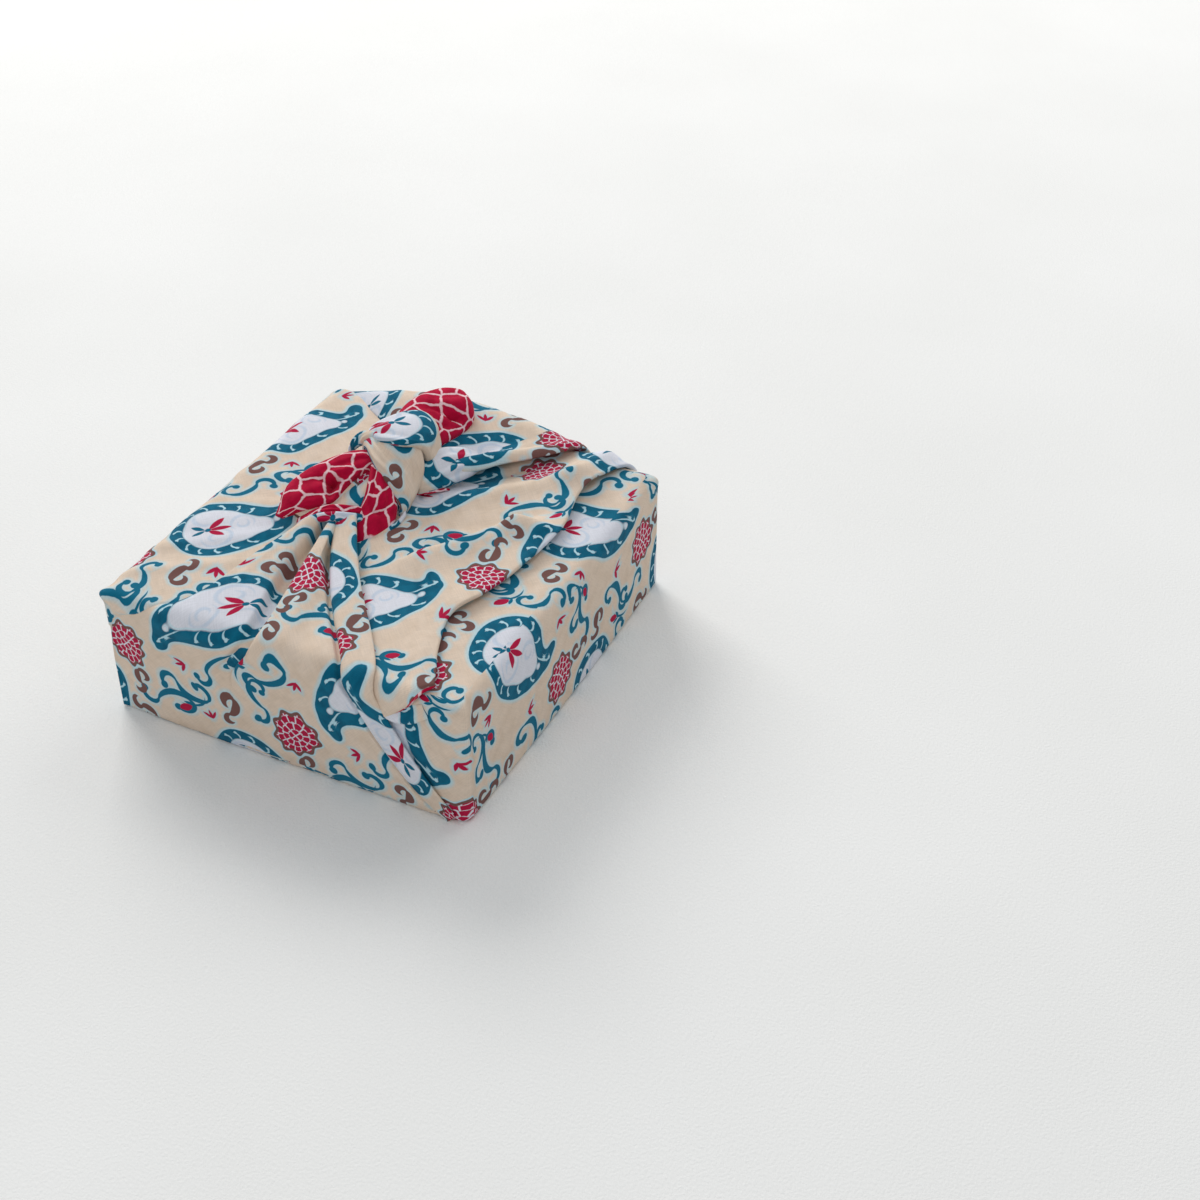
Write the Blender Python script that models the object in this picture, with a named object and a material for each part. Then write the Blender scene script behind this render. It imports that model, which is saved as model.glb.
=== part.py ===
"""Furoshiki wrap: one square cloth folded round a shallow gift and tied on top in a square knot.

Frame: +Z up, the origin under the middle of the bundle, on the surface that it stands on.
-X is the side that the upper flap comes over, +X the side where the lower layer shows,
-Y the side gathered into the near end of the knot and +Y the side gathered into its far end.

The cloth and what it holds make one filled solid: a soft-edged body, the flap, the two
gathers with their folds, the long fold band, and the knot with its two free ends.
Places on the cloth that lies round the body are given on its net: x and y as on the top,
and past an edge the distance walked on, round the edge and down the side.
"""

import math

import bmesh
import bpy
import numpy as np

MM = 0.001

# Driving sizes of the filled bundle
SIZE_X = 160 * MM
SIZE_Y = 170 * MM
SIZE_Z = 56 * MM
TOP_ROUND = 4 * MM
BOTTOM_ROUND = 2.0 * MM
SIDE_BULGE = 1.4 * MM

# Upright corners, from +X +Y round to +X -Y: the near one at +X is soft, the others crisp
CORNER_ROUNDS = (3.5 * MM, 4.0 * MM, 2.5 * MM, 6.0 * MM)

CORNER_SIGNS = ((1, 1), (-1, 1), (-1, -1), (1, -1))

# How far the cloth's layers reach into the body, so that the layers and the body are one solid
ROOT_DEPTH = 3 * MM

# Smoothness of the lofts
CORNER_STEPS = 4
ROUND_STEPS = 3
STEPS_PER_ROW = 2
GATHER_STEPS = 3
BAND_STEPS = 4
POINTS_PER_FOLD = 2
FLAP_STEPS = 16

# The flap that comes over from -X: its folded edge along y, and how high it stands there
FLAP_ROWS = (
    # net y, reach, lift
    (-96, 50.0, 1.4),
    (-91, 57.0, 1.6),
    (-86, 61.5, 1.8),
    (-79, 64.5, 2.2),
    (-70, 61.0, 2.3),
    (-62, 57.0, 2.4),
    (-46, 51.0, 2.6),
    (-38, 47.5, 2.6),
    (-30, 51.0, 2.8),
    (-20, 55.0, 2.8),
    (-2, 58.0, 3.0),
    (11, 60.5, 3.2),
    (27, 61.5, 3.4),
    (40, 60.5, 3.6),
    (55, 58.0, 3.4),
    (70, 60.0, 2.8),
    (80, 63.0, 2.2),
    (86, 68.0, 1.6),
)
# Soft folds across the flap: from one point to another, with a width to each side
FLAP_FOLDS = (
    # x0,  y0,    x1,   y1,   height, near width, far width
    (6.0, -14.0, 62.0, 44.0, 4.6, 9.0, 5.0),
    (16.0, 22.0, 70.0, 66.0, 2.6, 8.0, 9.0),
    (-10.0, -20.0, 52.0, -34.0, 1.5, 9.0, 9.0),
    (-70.0, -30.0, -30.0, 0.0, 1.5, 10.0, 10.0),
    (-70.0, 50.0, -30.0, 30.0, 1.5, 10.0, 10.0),
)
FOLD_END = 12.0
FLAP_START = -78.0
FLAP_EDGE_ROLL = 3.0
# The roll of the flap's folded edge: how far in from the edge, and its share of the height
FLAP_EDGE = (
    # inset, share
    (0.8, 0.9),
    (0.0, 0.5),
)
FLAP_EDGE_UNDER = 0.5
SHEET_FOOT = 0.1

# The near gather, from the throat of the knot to the bottom of the -Y side.
# Each row is one section across it: x of the folds, left to right
NEAR_FOLD_PLACES = (
    # net y, edge, crest, valley, lip, ridge, dip, rise, band
    (-4, -28.0, -26.5, -24.5, -23.5, -22.0, -20.0, -18.5, -17.0),
    (-12, -30.0, -27.5, -25.0, -24.0, -21.5, -19.0, -17.0, -14.0),
    (-20, -32.0, -29.0, -24.8, -23.5, -20.0, -16.5, -13.0, -10.0),
    (-30, -34.5, -30.5, -23.8, -22.0, -18.0, -13.0, -9.0, -4.0),
    (-42, -37.0, -32.0, -22.0, -20.0, -16.0, -9.5, -4.0, 3.0),
    (-55, -39.5, -34.0, -19.5, -17.5, -13.5, -5.0, 2.0, 12.0),
    (-68, -42.5, -36.0, -17.0, -15.5, -12.0, -1.0, 8.0, 20.0),
    (-80, -48.0, -39.0, -16.5, -14.5, -11.0, 2.0, 14.0, 28.0),
    (-88, -64.0, -46.0, -17.5, -15.0, -11.5, 4.0, 18.0, 33.0),
    (-97, -76.0, -54.0, -23.0, -19.0, -15.0, 5.0, 20.0, 38.0),
    (-112, -77.0, -56.0, -32.0, -24.0, -14.0, 6.0, 22.0, 45.0),
    (-125, -77.0, -56.0, -36.0, -26.0, -12.0, 6.0, 24.0, 54.0),
    (-134, -77.0, -56.0, -38.0, -28.0, -12.0, 6.0, 24.0, 58.0),
    (-138.5, -77.0, -56.0, -38.0, -28.0, -12.0, 6.0, 24.0, 60.0),
)
NEAR_FOLD_HEIGHTS = (
    # net y, edge, crest, valley, lip, ridge, dip, rise, band
    (-4, 6.0, 10.0, 6.0, 8.0, 11.0, 9.0, 11.0, 8.0),
    (-12, 4.5, 8.8, 3.6, 6.0, 9.4, 7.2, 8.4, 5.0),
    (-20, 3.8, 7.6, 2.2, 4.6, 8.0, 5.6, 6.4, 3.4),
    (-30, 3.0, 6.2, 1.4, 3.6, 6.6, 4.0, 4.6, 2.4),
    (-42, 2.5, 5.2, 1.2, 2.8, 5.4, 3.0, 3.6, 2.0),
    (-55, 2.2, 4.4, 1.1, 2.2, 4.4, 2.4, 2.8, 1.6),
    (-68, 1.9, 3.6, 1.0, 1.9, 3.6, 2.0, 2.2, 1.4),
    (-80, 1.7, 2.9, 1.0, 1.6, 3.0, 1.7, 1.8, 1.3),
    (-88, 1.5, 2.4, 1.0, 1.5, 2.7, 1.5, 1.5, 1.2),
    (-97, 0.6, 1.8, 1.3, 1.5, 2.1, 1.5, 1.4, 1.2),
    (-112, 0.4, 1.8, 2.0, 2.0, 2.1, 2.0, 1.8, 1.2),
    (-125, 0.4, 2.0, 2.3, 2.4, 2.4, 2.3, 2.0, 1.2),
    (-134, 0.4, 1.8, 2.1, 2.2, 2.2, 2.1, 1.8, 1.0),
    (-138.5, 0.2, 0.9, 1.0, 1.1, 1.1, 1.0, 0.9, 0.6),
)

# The far gather, from the far throat to the bottom of the +Y side, folds from right to left
FAR_FOLD_PLACES = (
    # net y, edge, crest, valley, ridge, dip, rise, end
    (40, 12.0, 6.0, 1.5, -1.0, -3.0, -4.0, -6.0),
    (48, 17.5, 10.0, 1.0, -4.0, -8.0, -11.0, -14.0),
    (58, 24.5, 16.5, 4.0, -7.0, -15.0, -22.0, -30.0),
    (69, 32.5, 24.0, 9.0, -8.0, -22.0, -36.0, -48.0),
    (80, 40.0, 31.0, 14.0, -8.0, -28.0, -50.0, -68.0),
    (88, 46.0, 36.0, 17.0, -8.0, -30.0, -56.0, -76.0),
    (96, 50.0, 40.0, 19.0, -8.0, -30.0, -57.0, -77.0),
    (108, 57.0, 47.0, 22.0, -8.0, -30.0, -58.0, -77.0),
    (121, 65.0, 55.0, 25.0, -8.0, -30.0, -58.0, -77.0),
    (136, 76.0, 64.0, 28.0, -8.0, -30.0, -58.0, -77.0),
)
FAR_FOLD_HEIGHTS = (
    # net y, edge, crest, valley, ridge, dip, rise, end
    (40, 5.0, 10.0, 8.0, 11.0, 9.0, 10.0, 6.0),
    (48, 4.0, 9.4, 6.4, 9.4, 8.0, 9.0, 3.4),
    (58, 3.4, 9.0, 6.0, 9.0, 8.0, 8.0, 2.2),
    (69, 3.0, 7.6, 6.4, 9.4, 9.0, 7.0, 1.8),
    (80, 2.8, 6.4, 7.6, 10.6, 10.0, 6.0, 1.4),
    (88, 2.6, 5.4, 8.0, 10.8, 10.0, 5.4, 0.8),
    (96, 2.4, 4.4, 7.0, 9.0, 8.0, 4.4, 0.2),
    (108, 2.2, 3.4, 4.6, 5.8, 5.0, 3.0, 0.2),
    (121, 1.9, 2.6, 2.8, 3.4, 3.0, 1.8, 0.2),
    (136, 1.5, 1.8, 1.2, 1.2, 1.2, 1.0, 0.2),
)

# The fold band that runs from the knot to the bottom corner at +X, -Y: its middle line on the net
BAND_ROWS = (
    # x,    net y, width, lift
    (-14.0, -6.0, 10.0, 12.5),
    (-12.0, -16.0, 10.5, 9.0),
    (-4.5, -29.0, 11.5, 6.4),
    (5.0, -43.0, 12.0, 5.0),
    (15.0, -56.0, 12.5, 4.2),
    (24.5, -68.0, 12.5, 3.8),
    (33.0, -80.0, 12.5, 3.4),
    (37.5, -89.0, 13.0, 3.2),
    (42.5, -99.0, 13.5, 3.0),
    (48.0, -110.0, 13.5, 2.8),
    (54.0, -121.0, 13.0, 2.6),
    (61.5, -129.0, 11.0, 2.3),
    (68.5, -134.0, 7.0, 1.8),
)

# Its section: how far to the side, in half widths, and its share of the lift
BAND_SECTION = (
    # side, share
    (-1.0, 0.25),
    (-0.94, 0.75),
    (-0.55, 1.0),
    (0.0, 1.05),
    (0.55, 1.0),
    (0.94, 0.7),
    (1.0, 0.2),
)
BAND_ROOTS = (0.9, -0.9)

# The knot: every band is lofted along its centre line, a row for each section.
# facing: the way the flat of the band looks.  round: the point that a wrap goes round
KNOT_MIDDLE = (-9.0, 19.0, 68.5)
KNOT_HALF = (16.0, 19.0, 11.5)
KNOT_BANDS = (
    {
        "name": "near neck",
        "facing": (0.2, -0.3, 1.0),
        "rows": (
            # x,    y,    z,    width, thick
            (-22.0, -14.0, 60.0, 13.0, 7.0),
            (-20.5, -7.0, 64.0, 15.0, 9.0),
            (-17.5, 2.0, 66.5, 17.0, 11.0),
            (-13.0, 12.0, 68.0, 18.0, 12.0),
        ),
    },
    {
        "name": "far neck",
        "facing": (0.3, 0.2, 1.0),
        "rows": (
            # x,    y,    z,    width, thick
            (9.0, 51.0, 60.5, 13.0, 8.0),
            (5.0, 43.0, 64.0, 16.0, 11.0),
            (1.5, 34.0, 66.5, 18.0, 13.0),
            (-4.0, 24.0, 68.0, 18.0, 13.0),
        ),
    },
    {
        "name": "near wrap",
        "round": (-9.0, 15.0, 66.0),
        "rows": (
            # x,    y,    z,    width, thick
            (2.0, 14.0, 58.0, 6.0, 5.0),
            (6.0, 8.5, 61.5, 8.0, 5.0),
            (6.5, 6.5, 67.0, 13.0, 6.0),
            (2.0, 9.0, 74.0, 19.0, 7.0),
            (-6.0, 14.5, 79.0, 21.0, 7.0),
            (-15.0, 20.5, 80.5, 17.0, 7.0),
            (-22.0, 25.0, 77.5, 11.0, 6.0),
            (-26.5, 28.0, 70.0, 9.0, 6.0),
            (-24.0, 29.0, 61.0, 9.0, 6.0),
        ),
    },
    {
        "name": "far wrap",
        "round": (-12.0, 38.0, 66.0),
        "rows": (
            # x,    y,    z,    width, thick
            (-26.0, 33.0, 61.0, 12.0, 8.0),
            (-30.0, 34.0, 68.5, 16.0, 8.0),
            (-28.0, 36.0, 75.0, 20.0, 8.0),
            (-20.0, 39.0, 79.0, 26.0, 8.0),
            (-10.0, 41.0, 79.5, 28.0, 9.0),
            (-1.5, 42.0, 75.0, 26.0, 9.0),
            (3.0, 42.0, 67.5, 20.0, 9.0),
            (2.0, 40.0, 59.5, 15.0, 8.0),
        ),
    },
    {
        "name": "lower loop",
        "facing": (0.8, -0.45, 0.5),
        "rows": (
            # x,    y,    z,    width, thick
            (-17.0, 17.0, 71.5, 10.0, 8.0),
            (-13.0, 10.0, 71.0, 14.0, 8.0),
            (-8.5, 4.0, 67.5, 19.0, 9.0),
            (-5.5, -1.5, 62.5, 24.0, 9.0),
            (-5.0, -3.5, 57.5, 26.0, 8.0),
        ),
    },
    {
        "name": "near ear root",
        "facing": (0.3, -0.5, 1.0),
        "rows": (
            # x,    y,    z,    width, thick
            (-33.0, -8.0, 61.5, 6.0, 5.0),
            (-29.0, -3.0, 64.0, 10.0, 8.0),
            (-22.0, 5.0, 67.5, 12.0, 10.0),
            (-15.0, 14.0, 70.0, 13.0, 10.0),
        ),
    },
    {
        "name": "near ear",
        "facing": (0.25, -0.35, 1.0),
        "rows": (
            # x,    y,    z,    width, thick
            (-16.0, 25.0, 71.5, 12.0, 8.0),
            (-22.5, 19.0, 73.5, 15.0, 9.0),
            (-29.0, 9.0, 73.0, 20.0, 9.5),
            (-34.0, -1.5, 70.5, 22.0, 8.5),
            (-38.0, -11.0, 67.5, 17.0, 6.5),
            (-40.5, -17.5, 65.0, 10.0, 4.0),
            (-41.5, -20.5, 63.5, 3.5, 2.0),
        ),
    },
    {
        "name": "far ear",
        "facing": (0.1, -0.35, 1.0),
        "rows": (
            # x,    y,    z,    width, thick
            (-17.0, 34.0, 74.0, 14.0, 10.0),
            (-18.0, 44.0, 76.0, 18.0, 12.0),
            (-18.0, 54.0, 76.0, 22.0, 14.0),
            (-17.0, 63.0, 74.0, 26.0, 15.0),
            (-15.5, 71.0, 71.5, 26.0, 14.0),
            (-14.5, 77.0, 69.5, 22.0, 11.0),
            (-14.0, 81.0, 68.0, 13.0, 6.0),
        ),
    },
)
BAND_SIDES = 12
CORE_SEGMENTS = 16
CORE_RINGS = 10

COLLECTION = "furoshiki_wrap"
SHAPERS = "shapers"
BEIGE = (0.55, 0.44, 0.32, 1.0)
ROUGHNESS = 0.85
SHARP_ANGLE = math.radians(40)


def clear_scene():
    for item in list(bpy.data.objects):
        bpy.data.objects.remove(item, do_unlink=True)


def make_collection(name):
    group = bpy.data.collections.new(name)
    bpy.context.scene.collection.children.link(group)
    return group


def smooth_rows(rows, steps):
    """Catmull-Rom curve through the rows, every column alike."""
    table = np.array(rows, dtype=float)
    before = 2 * table[0] - table[1]
    after = 2 * table[-1] - table[-2]
    padded = np.vstack([before, table, after])
    out = []
    for i in range(1, len(padded) - 2):
        a, b, c, d = padded[i - 1], padded[i], padded[i + 1], padded[i + 2]
        for step in range(steps):
            t = step / steps
            out.append(
                0.5 * (2 * b + (c - a) * t + (2 * a - 5 * b + 4 * c - d) * t**2
                       + (3 * b - a - 3 * c + d) * t**3)
            )
    out.append(table[-1])
    return np.array(out)


def past_edge(distance, size, height):
    """Outward place and z of a point at a walked distance from the middle of the top."""
    flat = size / 2 - TOP_ROUND
    walked = abs(distance) - flat
    sign = 1 if distance >= 0 else -1
    if walked <= 0:
        return distance, SIZE_Z + height
    angle = walked / TOP_ROUND
    if angle < math.pi / 2:
        reach = flat + (TOP_ROUND + height) * math.sin(angle)
        return sign * reach, SIZE_Z - TOP_ROUND + (TOP_ROUND + height) * math.cos(angle)
    down = walked - TOP_ROUND * math.pi / 2
    return sign * (size / 2 + height), SIZE_Z - TOP_ROUND - down


def on_net(x, net_y, height):
    """Place in space of a point on the cloth's net, at a height over the body."""
    y, z = past_edge(net_y, SIZE_Y, height)
    return (x, y, z)


def mesh_object(name, points, faces, group):
    mesh = bpy.data.meshes.new(name)
    mesh.from_pydata([tuple(p) for p in points], [], faces)
    shape = bmesh.new()
    shape.from_mesh(mesh)
    bmesh.ops.triangulate(shape, faces=[f for f in shape.faces if len(f.verts) > 4])
    bmesh.ops.recalc_face_normals(shape, faces=shape.faces)
    shape.to_mesh(mesh)
    shape.free()
    item = bpy.data.objects.new(name, mesh)
    group.objects.link(item)
    return item


def loft(name, rings, group):
    """One closed body through rings that have the same number of points."""
    count = len(rings[0])
    points = [p for ring in rings for p in ring]
    faces = []
    for i in range(len(rings) - 1):
        for j in range(count):
            a = i * count + j
            b = i * count + (j + 1) % count
            faces.append((a, b, b + count, a + count))
    faces.append(tuple(range(count)))
    faces.append(tuple((len(rings) - 1) * count + j for j in range(count)))
    return mesh_object(name, points, faces, group)


def body_ring(inset, z, bulge):
    """Rounded rectangle of the body, drawn in by inset and with sides that stand out by bulge."""
    half_x = SIZE_X / 2 - inset
    half_y = SIZE_Y / 2 - inset
    ring = []
    for quarter, (sx, sy) in enumerate(CORNER_SIGNS):
        corner = CORNER_ROUNDS[quarter] - inset / 2
        for step in range(CORNER_STEPS + 1):
            angle = math.pi / 2 * (quarter + step / CORNER_STEPS)
            ring.append((
                sx * (half_x - corner) + corner * math.cos(angle),
                sy * (half_y - corner) + corner * math.sin(angle),
                z,
            ))
        next_sx, next_sy = CORNER_SIGNS[(quarter + 1) % len(CORNER_SIGNS)]
        mid_x = (sx + next_sx) / 2 * (half_x + bulge)
        mid_y = (sy + next_sy) / 2 * (half_y + bulge)
        ring.append((mid_x, mid_y, z))
    return ring


def build_body(group):
    rings = []
    for step in range(ROUND_STEPS + 1):
        angle = math.pi / 2 * step / ROUND_STEPS
        inset = BOTTOM_ROUND * (1 - math.sin(angle))
        z = BOTTOM_ROUND * (1 - math.cos(angle))
        rings.append(body_ring(inset, z, SIDE_BULGE * step / ROUND_STEPS))
    rings.append(body_ring(0, SIZE_Z / 2, SIDE_BULGE))
    for step in range(ROUND_STEPS + 1):
        angle = math.pi / 2 * step / ROUND_STEPS
        inset = TOP_ROUND * (1 - math.cos(angle))
        z = SIZE_Z - TOP_ROUND * (1 - math.sin(angle))
        rings.append(body_ring(inset, z, SIDE_BULGE * (1 - step / ROUND_STEPS)))
    return loft("body", rings, group)


def sheet_ring(section, net_y):
    """A section of (x, height) pairs in mm, closed through the inside of the body."""
    ring = [on_net(x * MM, net_y * MM, height * MM) for x, height in section]
    ring.append(on_net(section[-1][0] * MM, net_y * MM, -ROOT_DEPTH))
    ring.append(on_net(section[0][0] * MM, net_y * MM, -ROOT_DEPTH))
    return ring


def fold_relief(x, y, folds):
    """Height in mm of soft folds at a point, each with its own width to either side."""
    total = 0.0
    for x0, y0, x1, y1, height, near_width, far_width in folds:
        run = np.array([x1 - x0, y1 - y0])
        length = np.linalg.norm(run)
        run /= length
        offset = np.array([x - x0, y - y0])
        along = offset @ run
        across = run[0] * offset[1] - run[1] * offset[0]
        width = far_width if across > 0 else near_width
        past_end = max(0.0, -along, along - length) / FOLD_END
        total += height * math.exp(-((across / width) ** 2) - past_end**2)
    return total


def build_flap(group):
    """The layer that comes over from -X: soft folds cross it and its folded edge is round."""
    rings = []
    for net_y, reach, lift in smooth_rows(FLAP_ROWS, STEPS_PER_ROW):
        width = reach - FLAP_EDGE_ROLL - FLAP_START
        section = [(FLAP_START, SHEET_FOOT)]
        for step in range(1, FLAP_STEPS + 1):
            share = step / FLAP_STEPS
            x = FLAP_START + share * width
            height = lift * math.sqrt(share) + fold_relief(x, net_y, FLAP_FOLDS)
            section.append((x, height))
        edge_height = section[-1][1]
        section += [(reach - inset, share * edge_height) for inset, share in FLAP_EDGE]
        section.append((reach - FLAP_EDGE_UNDER, SHEET_FOOT))
        rings.append(sheet_ring(section, net_y))
    return loft("flap", rings, group)


def build_gather(name, places, heights, group):
    """A gather of folds that run from the throat of the knot down to the surface."""
    rings = []
    place_rows = smooth_rows(places, GATHER_STEPS)
    height_rows = smooth_rows(heights, GATHER_STEPS)
    for place, height in zip(place_rows, height_rows):
        folds = np.column_stack([place[1:], height[1:]])
        section = [(folds[0][0], SHEET_FOOT)]
        section += [tuple(p) for p in smooth_rows(folds, POINTS_PER_FOLD)]
        rings.append(sheet_ring(section, place[0]))
    return loft(name, rings, group)


def build_band(group):
    """The fold band on the near gather: a flat roll that tapers into the bottom corner."""
    rows = smooth_rows(BAND_ROWS, BAND_STEPS)
    rings = []
    for i, (x, net_y, width, lift) in enumerate(rows):
        along = rows[min(i + 1, len(rows) - 1)][:2] - rows[max(i - 1, 0)][:2]
        across = np.array([-along[1], along[0]]) / np.linalg.norm(along) * width / 2
        section = [(side, lift * share * MM) for side, share in BAND_SECTION]
        section += [(side, -ROOT_DEPTH) for side in BAND_ROOTS]
        rings.append([
            on_net((x + side * across[0]) * MM, (net_y + side * across[1]) * MM, height)
            for side, height in section
        ])
    return loft("fold band", rings, group)


def build_knot_band(spec, group):
    rows = smooth_rows(spec["rows"], STEPS_PER_ROW)
    rings = []
    for i, row in enumerate(rows):
        centre = row[:3]
        along = rows[min(i + 1, len(rows) - 1)][:3] - rows[max(i - 1, 0)][:3]
        along /= np.linalg.norm(along)
        facing = np.array(spec.get("facing", (0, 0, 1)))
        if "round" in spec:
            facing = centre - np.array(spec["round"])
        across = np.cross(along, facing)
        across /= np.linalg.norm(across)
        facing = np.cross(across, along)
        ring = []
        for step in range(BAND_SIDES):
            angle = 2 * math.pi * step / BAND_SIDES
            offset = across * row[3] / 2 * math.cos(angle) + facing * row[4] / 2 * math.sin(angle)
            ring.append((centre + offset) * MM)
        rings.append(ring)
    return loft(spec["name"], rings, group)


def build_core(group):
    """The cloth inside the knot, which closes the gaps between its bands."""
    bpy.ops.mesh.primitive_uv_sphere_add(segments=CORE_SEGMENTS, ring_count=CORE_RINGS)
    item = bpy.context.object
    item.name = "knot core"
    for vertex in item.data.vertices:
        for axis in range(3):
            vertex.co[axis] = (KNOT_MIDDLE[axis] + vertex.co[axis] * KNOT_HALF[axis]) * MM
    for owner in list(item.users_collection):
        owner.objects.unlink(item)
    group.objects.link(item)
    return item


def cloth_material():
    material = bpy.data.materials.new("printed cotton")
    material.use_nodes = True
    shader = material.node_tree.nodes["Principled BSDF"]
    shader.inputs["Base Color"].default_value = BEIGE
    shader.inputs["Roughness"].default_value = ROUGHNESS
    return material


def main():
    clear_scene()
    group = make_collection(COLLECTION)
    shapers = make_collection(SHAPERS)
    wrap = build_body(group)
    wrap.name = "furoshiki_wrap"
    wrap.data.materials.append(cloth_material())
    layers = [
        build_flap(shapers),
        build_gather("near gather", NEAR_FOLD_PLACES, NEAR_FOLD_HEIGHTS, shapers),
        build_gather("far gather", FAR_FOLD_PLACES, FAR_FOLD_HEIGHTS, shapers),
        build_band(shapers),
        build_core(shapers),
    ]
    layers += [build_knot_band(spec, shapers) for spec in KNOT_BANDS]
    for layer in layers:
        layer.hide_render = True
        layer.display_type = "WIRE"
        join = wrap.modifiers.new(layer.name, "BOOLEAN")
        join.operation = "UNION"
        join.solver = "EXACT"
        join.object = layer
    wrap.data.shade_smooth()
    wrap.data.set_sharp_from_angle(angle=SHARP_ANGLE)


main()
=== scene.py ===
"""Looks of the furoshiki wrap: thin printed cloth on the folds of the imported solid.

Frame: +Z up, the origin under the middle of the bundle. -X is the side that the upper flap
comes over, +X the side where the lower layer shows, -Y the side gathered into the near end of
the knot and +Y the side gathered into its far end. Shapes are worked out in millimetres.

The cloth's print is read from one UV map, "cloth": places on the flat square cloth, measured
from its middle, which lies under the bundle.
"""

import math

import bpy
import numpy as np
from mathutils import Matrix, Vector


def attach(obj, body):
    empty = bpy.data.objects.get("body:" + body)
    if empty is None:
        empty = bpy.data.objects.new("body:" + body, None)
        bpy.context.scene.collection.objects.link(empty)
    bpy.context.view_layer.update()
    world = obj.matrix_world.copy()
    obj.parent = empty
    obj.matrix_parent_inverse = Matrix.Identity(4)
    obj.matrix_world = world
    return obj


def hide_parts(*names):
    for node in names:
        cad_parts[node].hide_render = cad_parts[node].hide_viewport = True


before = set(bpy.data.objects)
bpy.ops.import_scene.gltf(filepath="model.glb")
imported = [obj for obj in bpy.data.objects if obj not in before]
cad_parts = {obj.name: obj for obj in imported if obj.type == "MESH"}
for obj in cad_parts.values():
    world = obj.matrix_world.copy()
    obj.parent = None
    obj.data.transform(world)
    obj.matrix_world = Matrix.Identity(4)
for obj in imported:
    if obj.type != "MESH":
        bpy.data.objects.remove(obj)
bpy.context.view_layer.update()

MM = 0.001
NODE = "furoshiki_wrap"
UV_MAP = "cloth"

# The filled bundle, as in the solid
SIZE_X = 160.0
SIZE_Y = 170.0
SIZE_Z = 56.0
TOP_ROUND = 4.0
BOTTOM_ROUND = 2.0
SIDE_BULGE = 1.4
CORNER_SIGNS = ((1, 1), (-1, 1), (-1, -1), (1, -1))
CORNER_ROUNDS = (3.5, 4.0, 2.5, 4.0)
# How far from the middle of the cloth's net, along y, its top ends and its side meets the floor
NET_EDGE = SIZE_Y / 2 - TOP_ROUND
NET_FOOT = NET_EDGE + TOP_ROUND * math.pi / 2 + SIZE_Z - TOP_ROUND

CLOTH_THICK = 0.6

# ---------------------------------------------------------------- camera, light and floor

# The photo in pixels: its side, its focal length and where the bundle's origin lies in it
PHOTO_SIZE = 1200
PHOTO_FOCAL = 1927.6
PHOTO_ORIGIN = (400.55, 639.8)
CAMERA_YAW = -0.45497
CAMERA_PITCH = 0.653857
CAMERA_DISTANCE = 809.59
SENSOR = 36.0


def camera_axes():
    forward = Vector((
        math.cos(CAMERA_PITCH) * math.sin(CAMERA_YAW),
        math.cos(CAMERA_PITCH) * math.cos(CAMERA_YAW),
        -math.sin(CAMERA_PITCH),
    ))
    right = Vector((math.cos(CAMERA_YAW), -math.sin(CAMERA_YAW), 0))
    return right, right.cross(forward), forward


def make_camera():
    right, up, forward = camera_axes()
    data = bpy.data.cameras.new("camera")
    data.sensor_width = SENSOR
    data.lens = PHOTO_FOCAL / PHOTO_SIZE * SENSOR
    data.dof.use_dof = False
    camera = bpy.data.objects.new("camera", data)
    bpy.context.scene.collection.objects.link(camera)
    across = (PHOTO_ORIGIN[0] - PHOTO_SIZE / 2) / PHOTO_FOCAL
    upward = (PHOTO_SIZE / 2 - PHOTO_ORIGIN[1]) / PHOTO_FOCAL
    place = -(forward + right * across + up * upward) * CAMERA_DISTANCE * MM
    turn = Matrix((right, up, -forward)).transposed().to_4x4()
    camera.matrix_world = Matrix.Translation(place) @ turn
    bpy.context.scene.camera = camera


# Soft boxes: name, place (m), side (m), power (W), colour
LIGHTS = (
    ("key", (-2.1, 1.8, 1.75), 1.7, 73.0, (1.0, 0.985, 0.965)),
    ("back", (0.5, 1.8, 1.3), 1.4, 10.0, (1.0, 0.99, 0.975)),
    ("fill", (0.3, -1.6, 1.5), 1.6, 7.0, (0.96, 0.98, 1.0)),
)
LIGHTS_AIM = (0, 0, 0.03)
SKY_COLOUR = (0.93, 0.96, 1.0, 1.0)
SKY_STRENGTH = 0.50
FLOOR_HALF = 4.0


def make_lights():
    for name, place, side, power, colour in LIGHTS:
        data = bpy.data.lights.new(name, "AREA")
        data.shape = "SQUARE"
        data.size = side
        data.energy = power
        data.color = colour
        lamp = bpy.data.objects.new(name, data)
        bpy.context.scene.collection.objects.link(lamp)
        turn = (Vector(LIGHTS_AIM) - Vector(place)).to_track_quat("-Z", "Y")
        lamp.matrix_world = Matrix.Translation(place) @ turn.to_matrix().to_4x4()
    world = bpy.data.worlds.new("studio")
    world.use_nodes = True
    sky = world.node_tree.nodes["Background"]
    sky.inputs["Color"].default_value = SKY_COLOUR
    sky.inputs["Strength"].default_value = SKY_STRENGTH
    bpy.context.scene.world = world
    bpy.context.scene.view_settings.view_transform = "Standard"


# ---------------------------------------------------------------- node patterns


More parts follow.
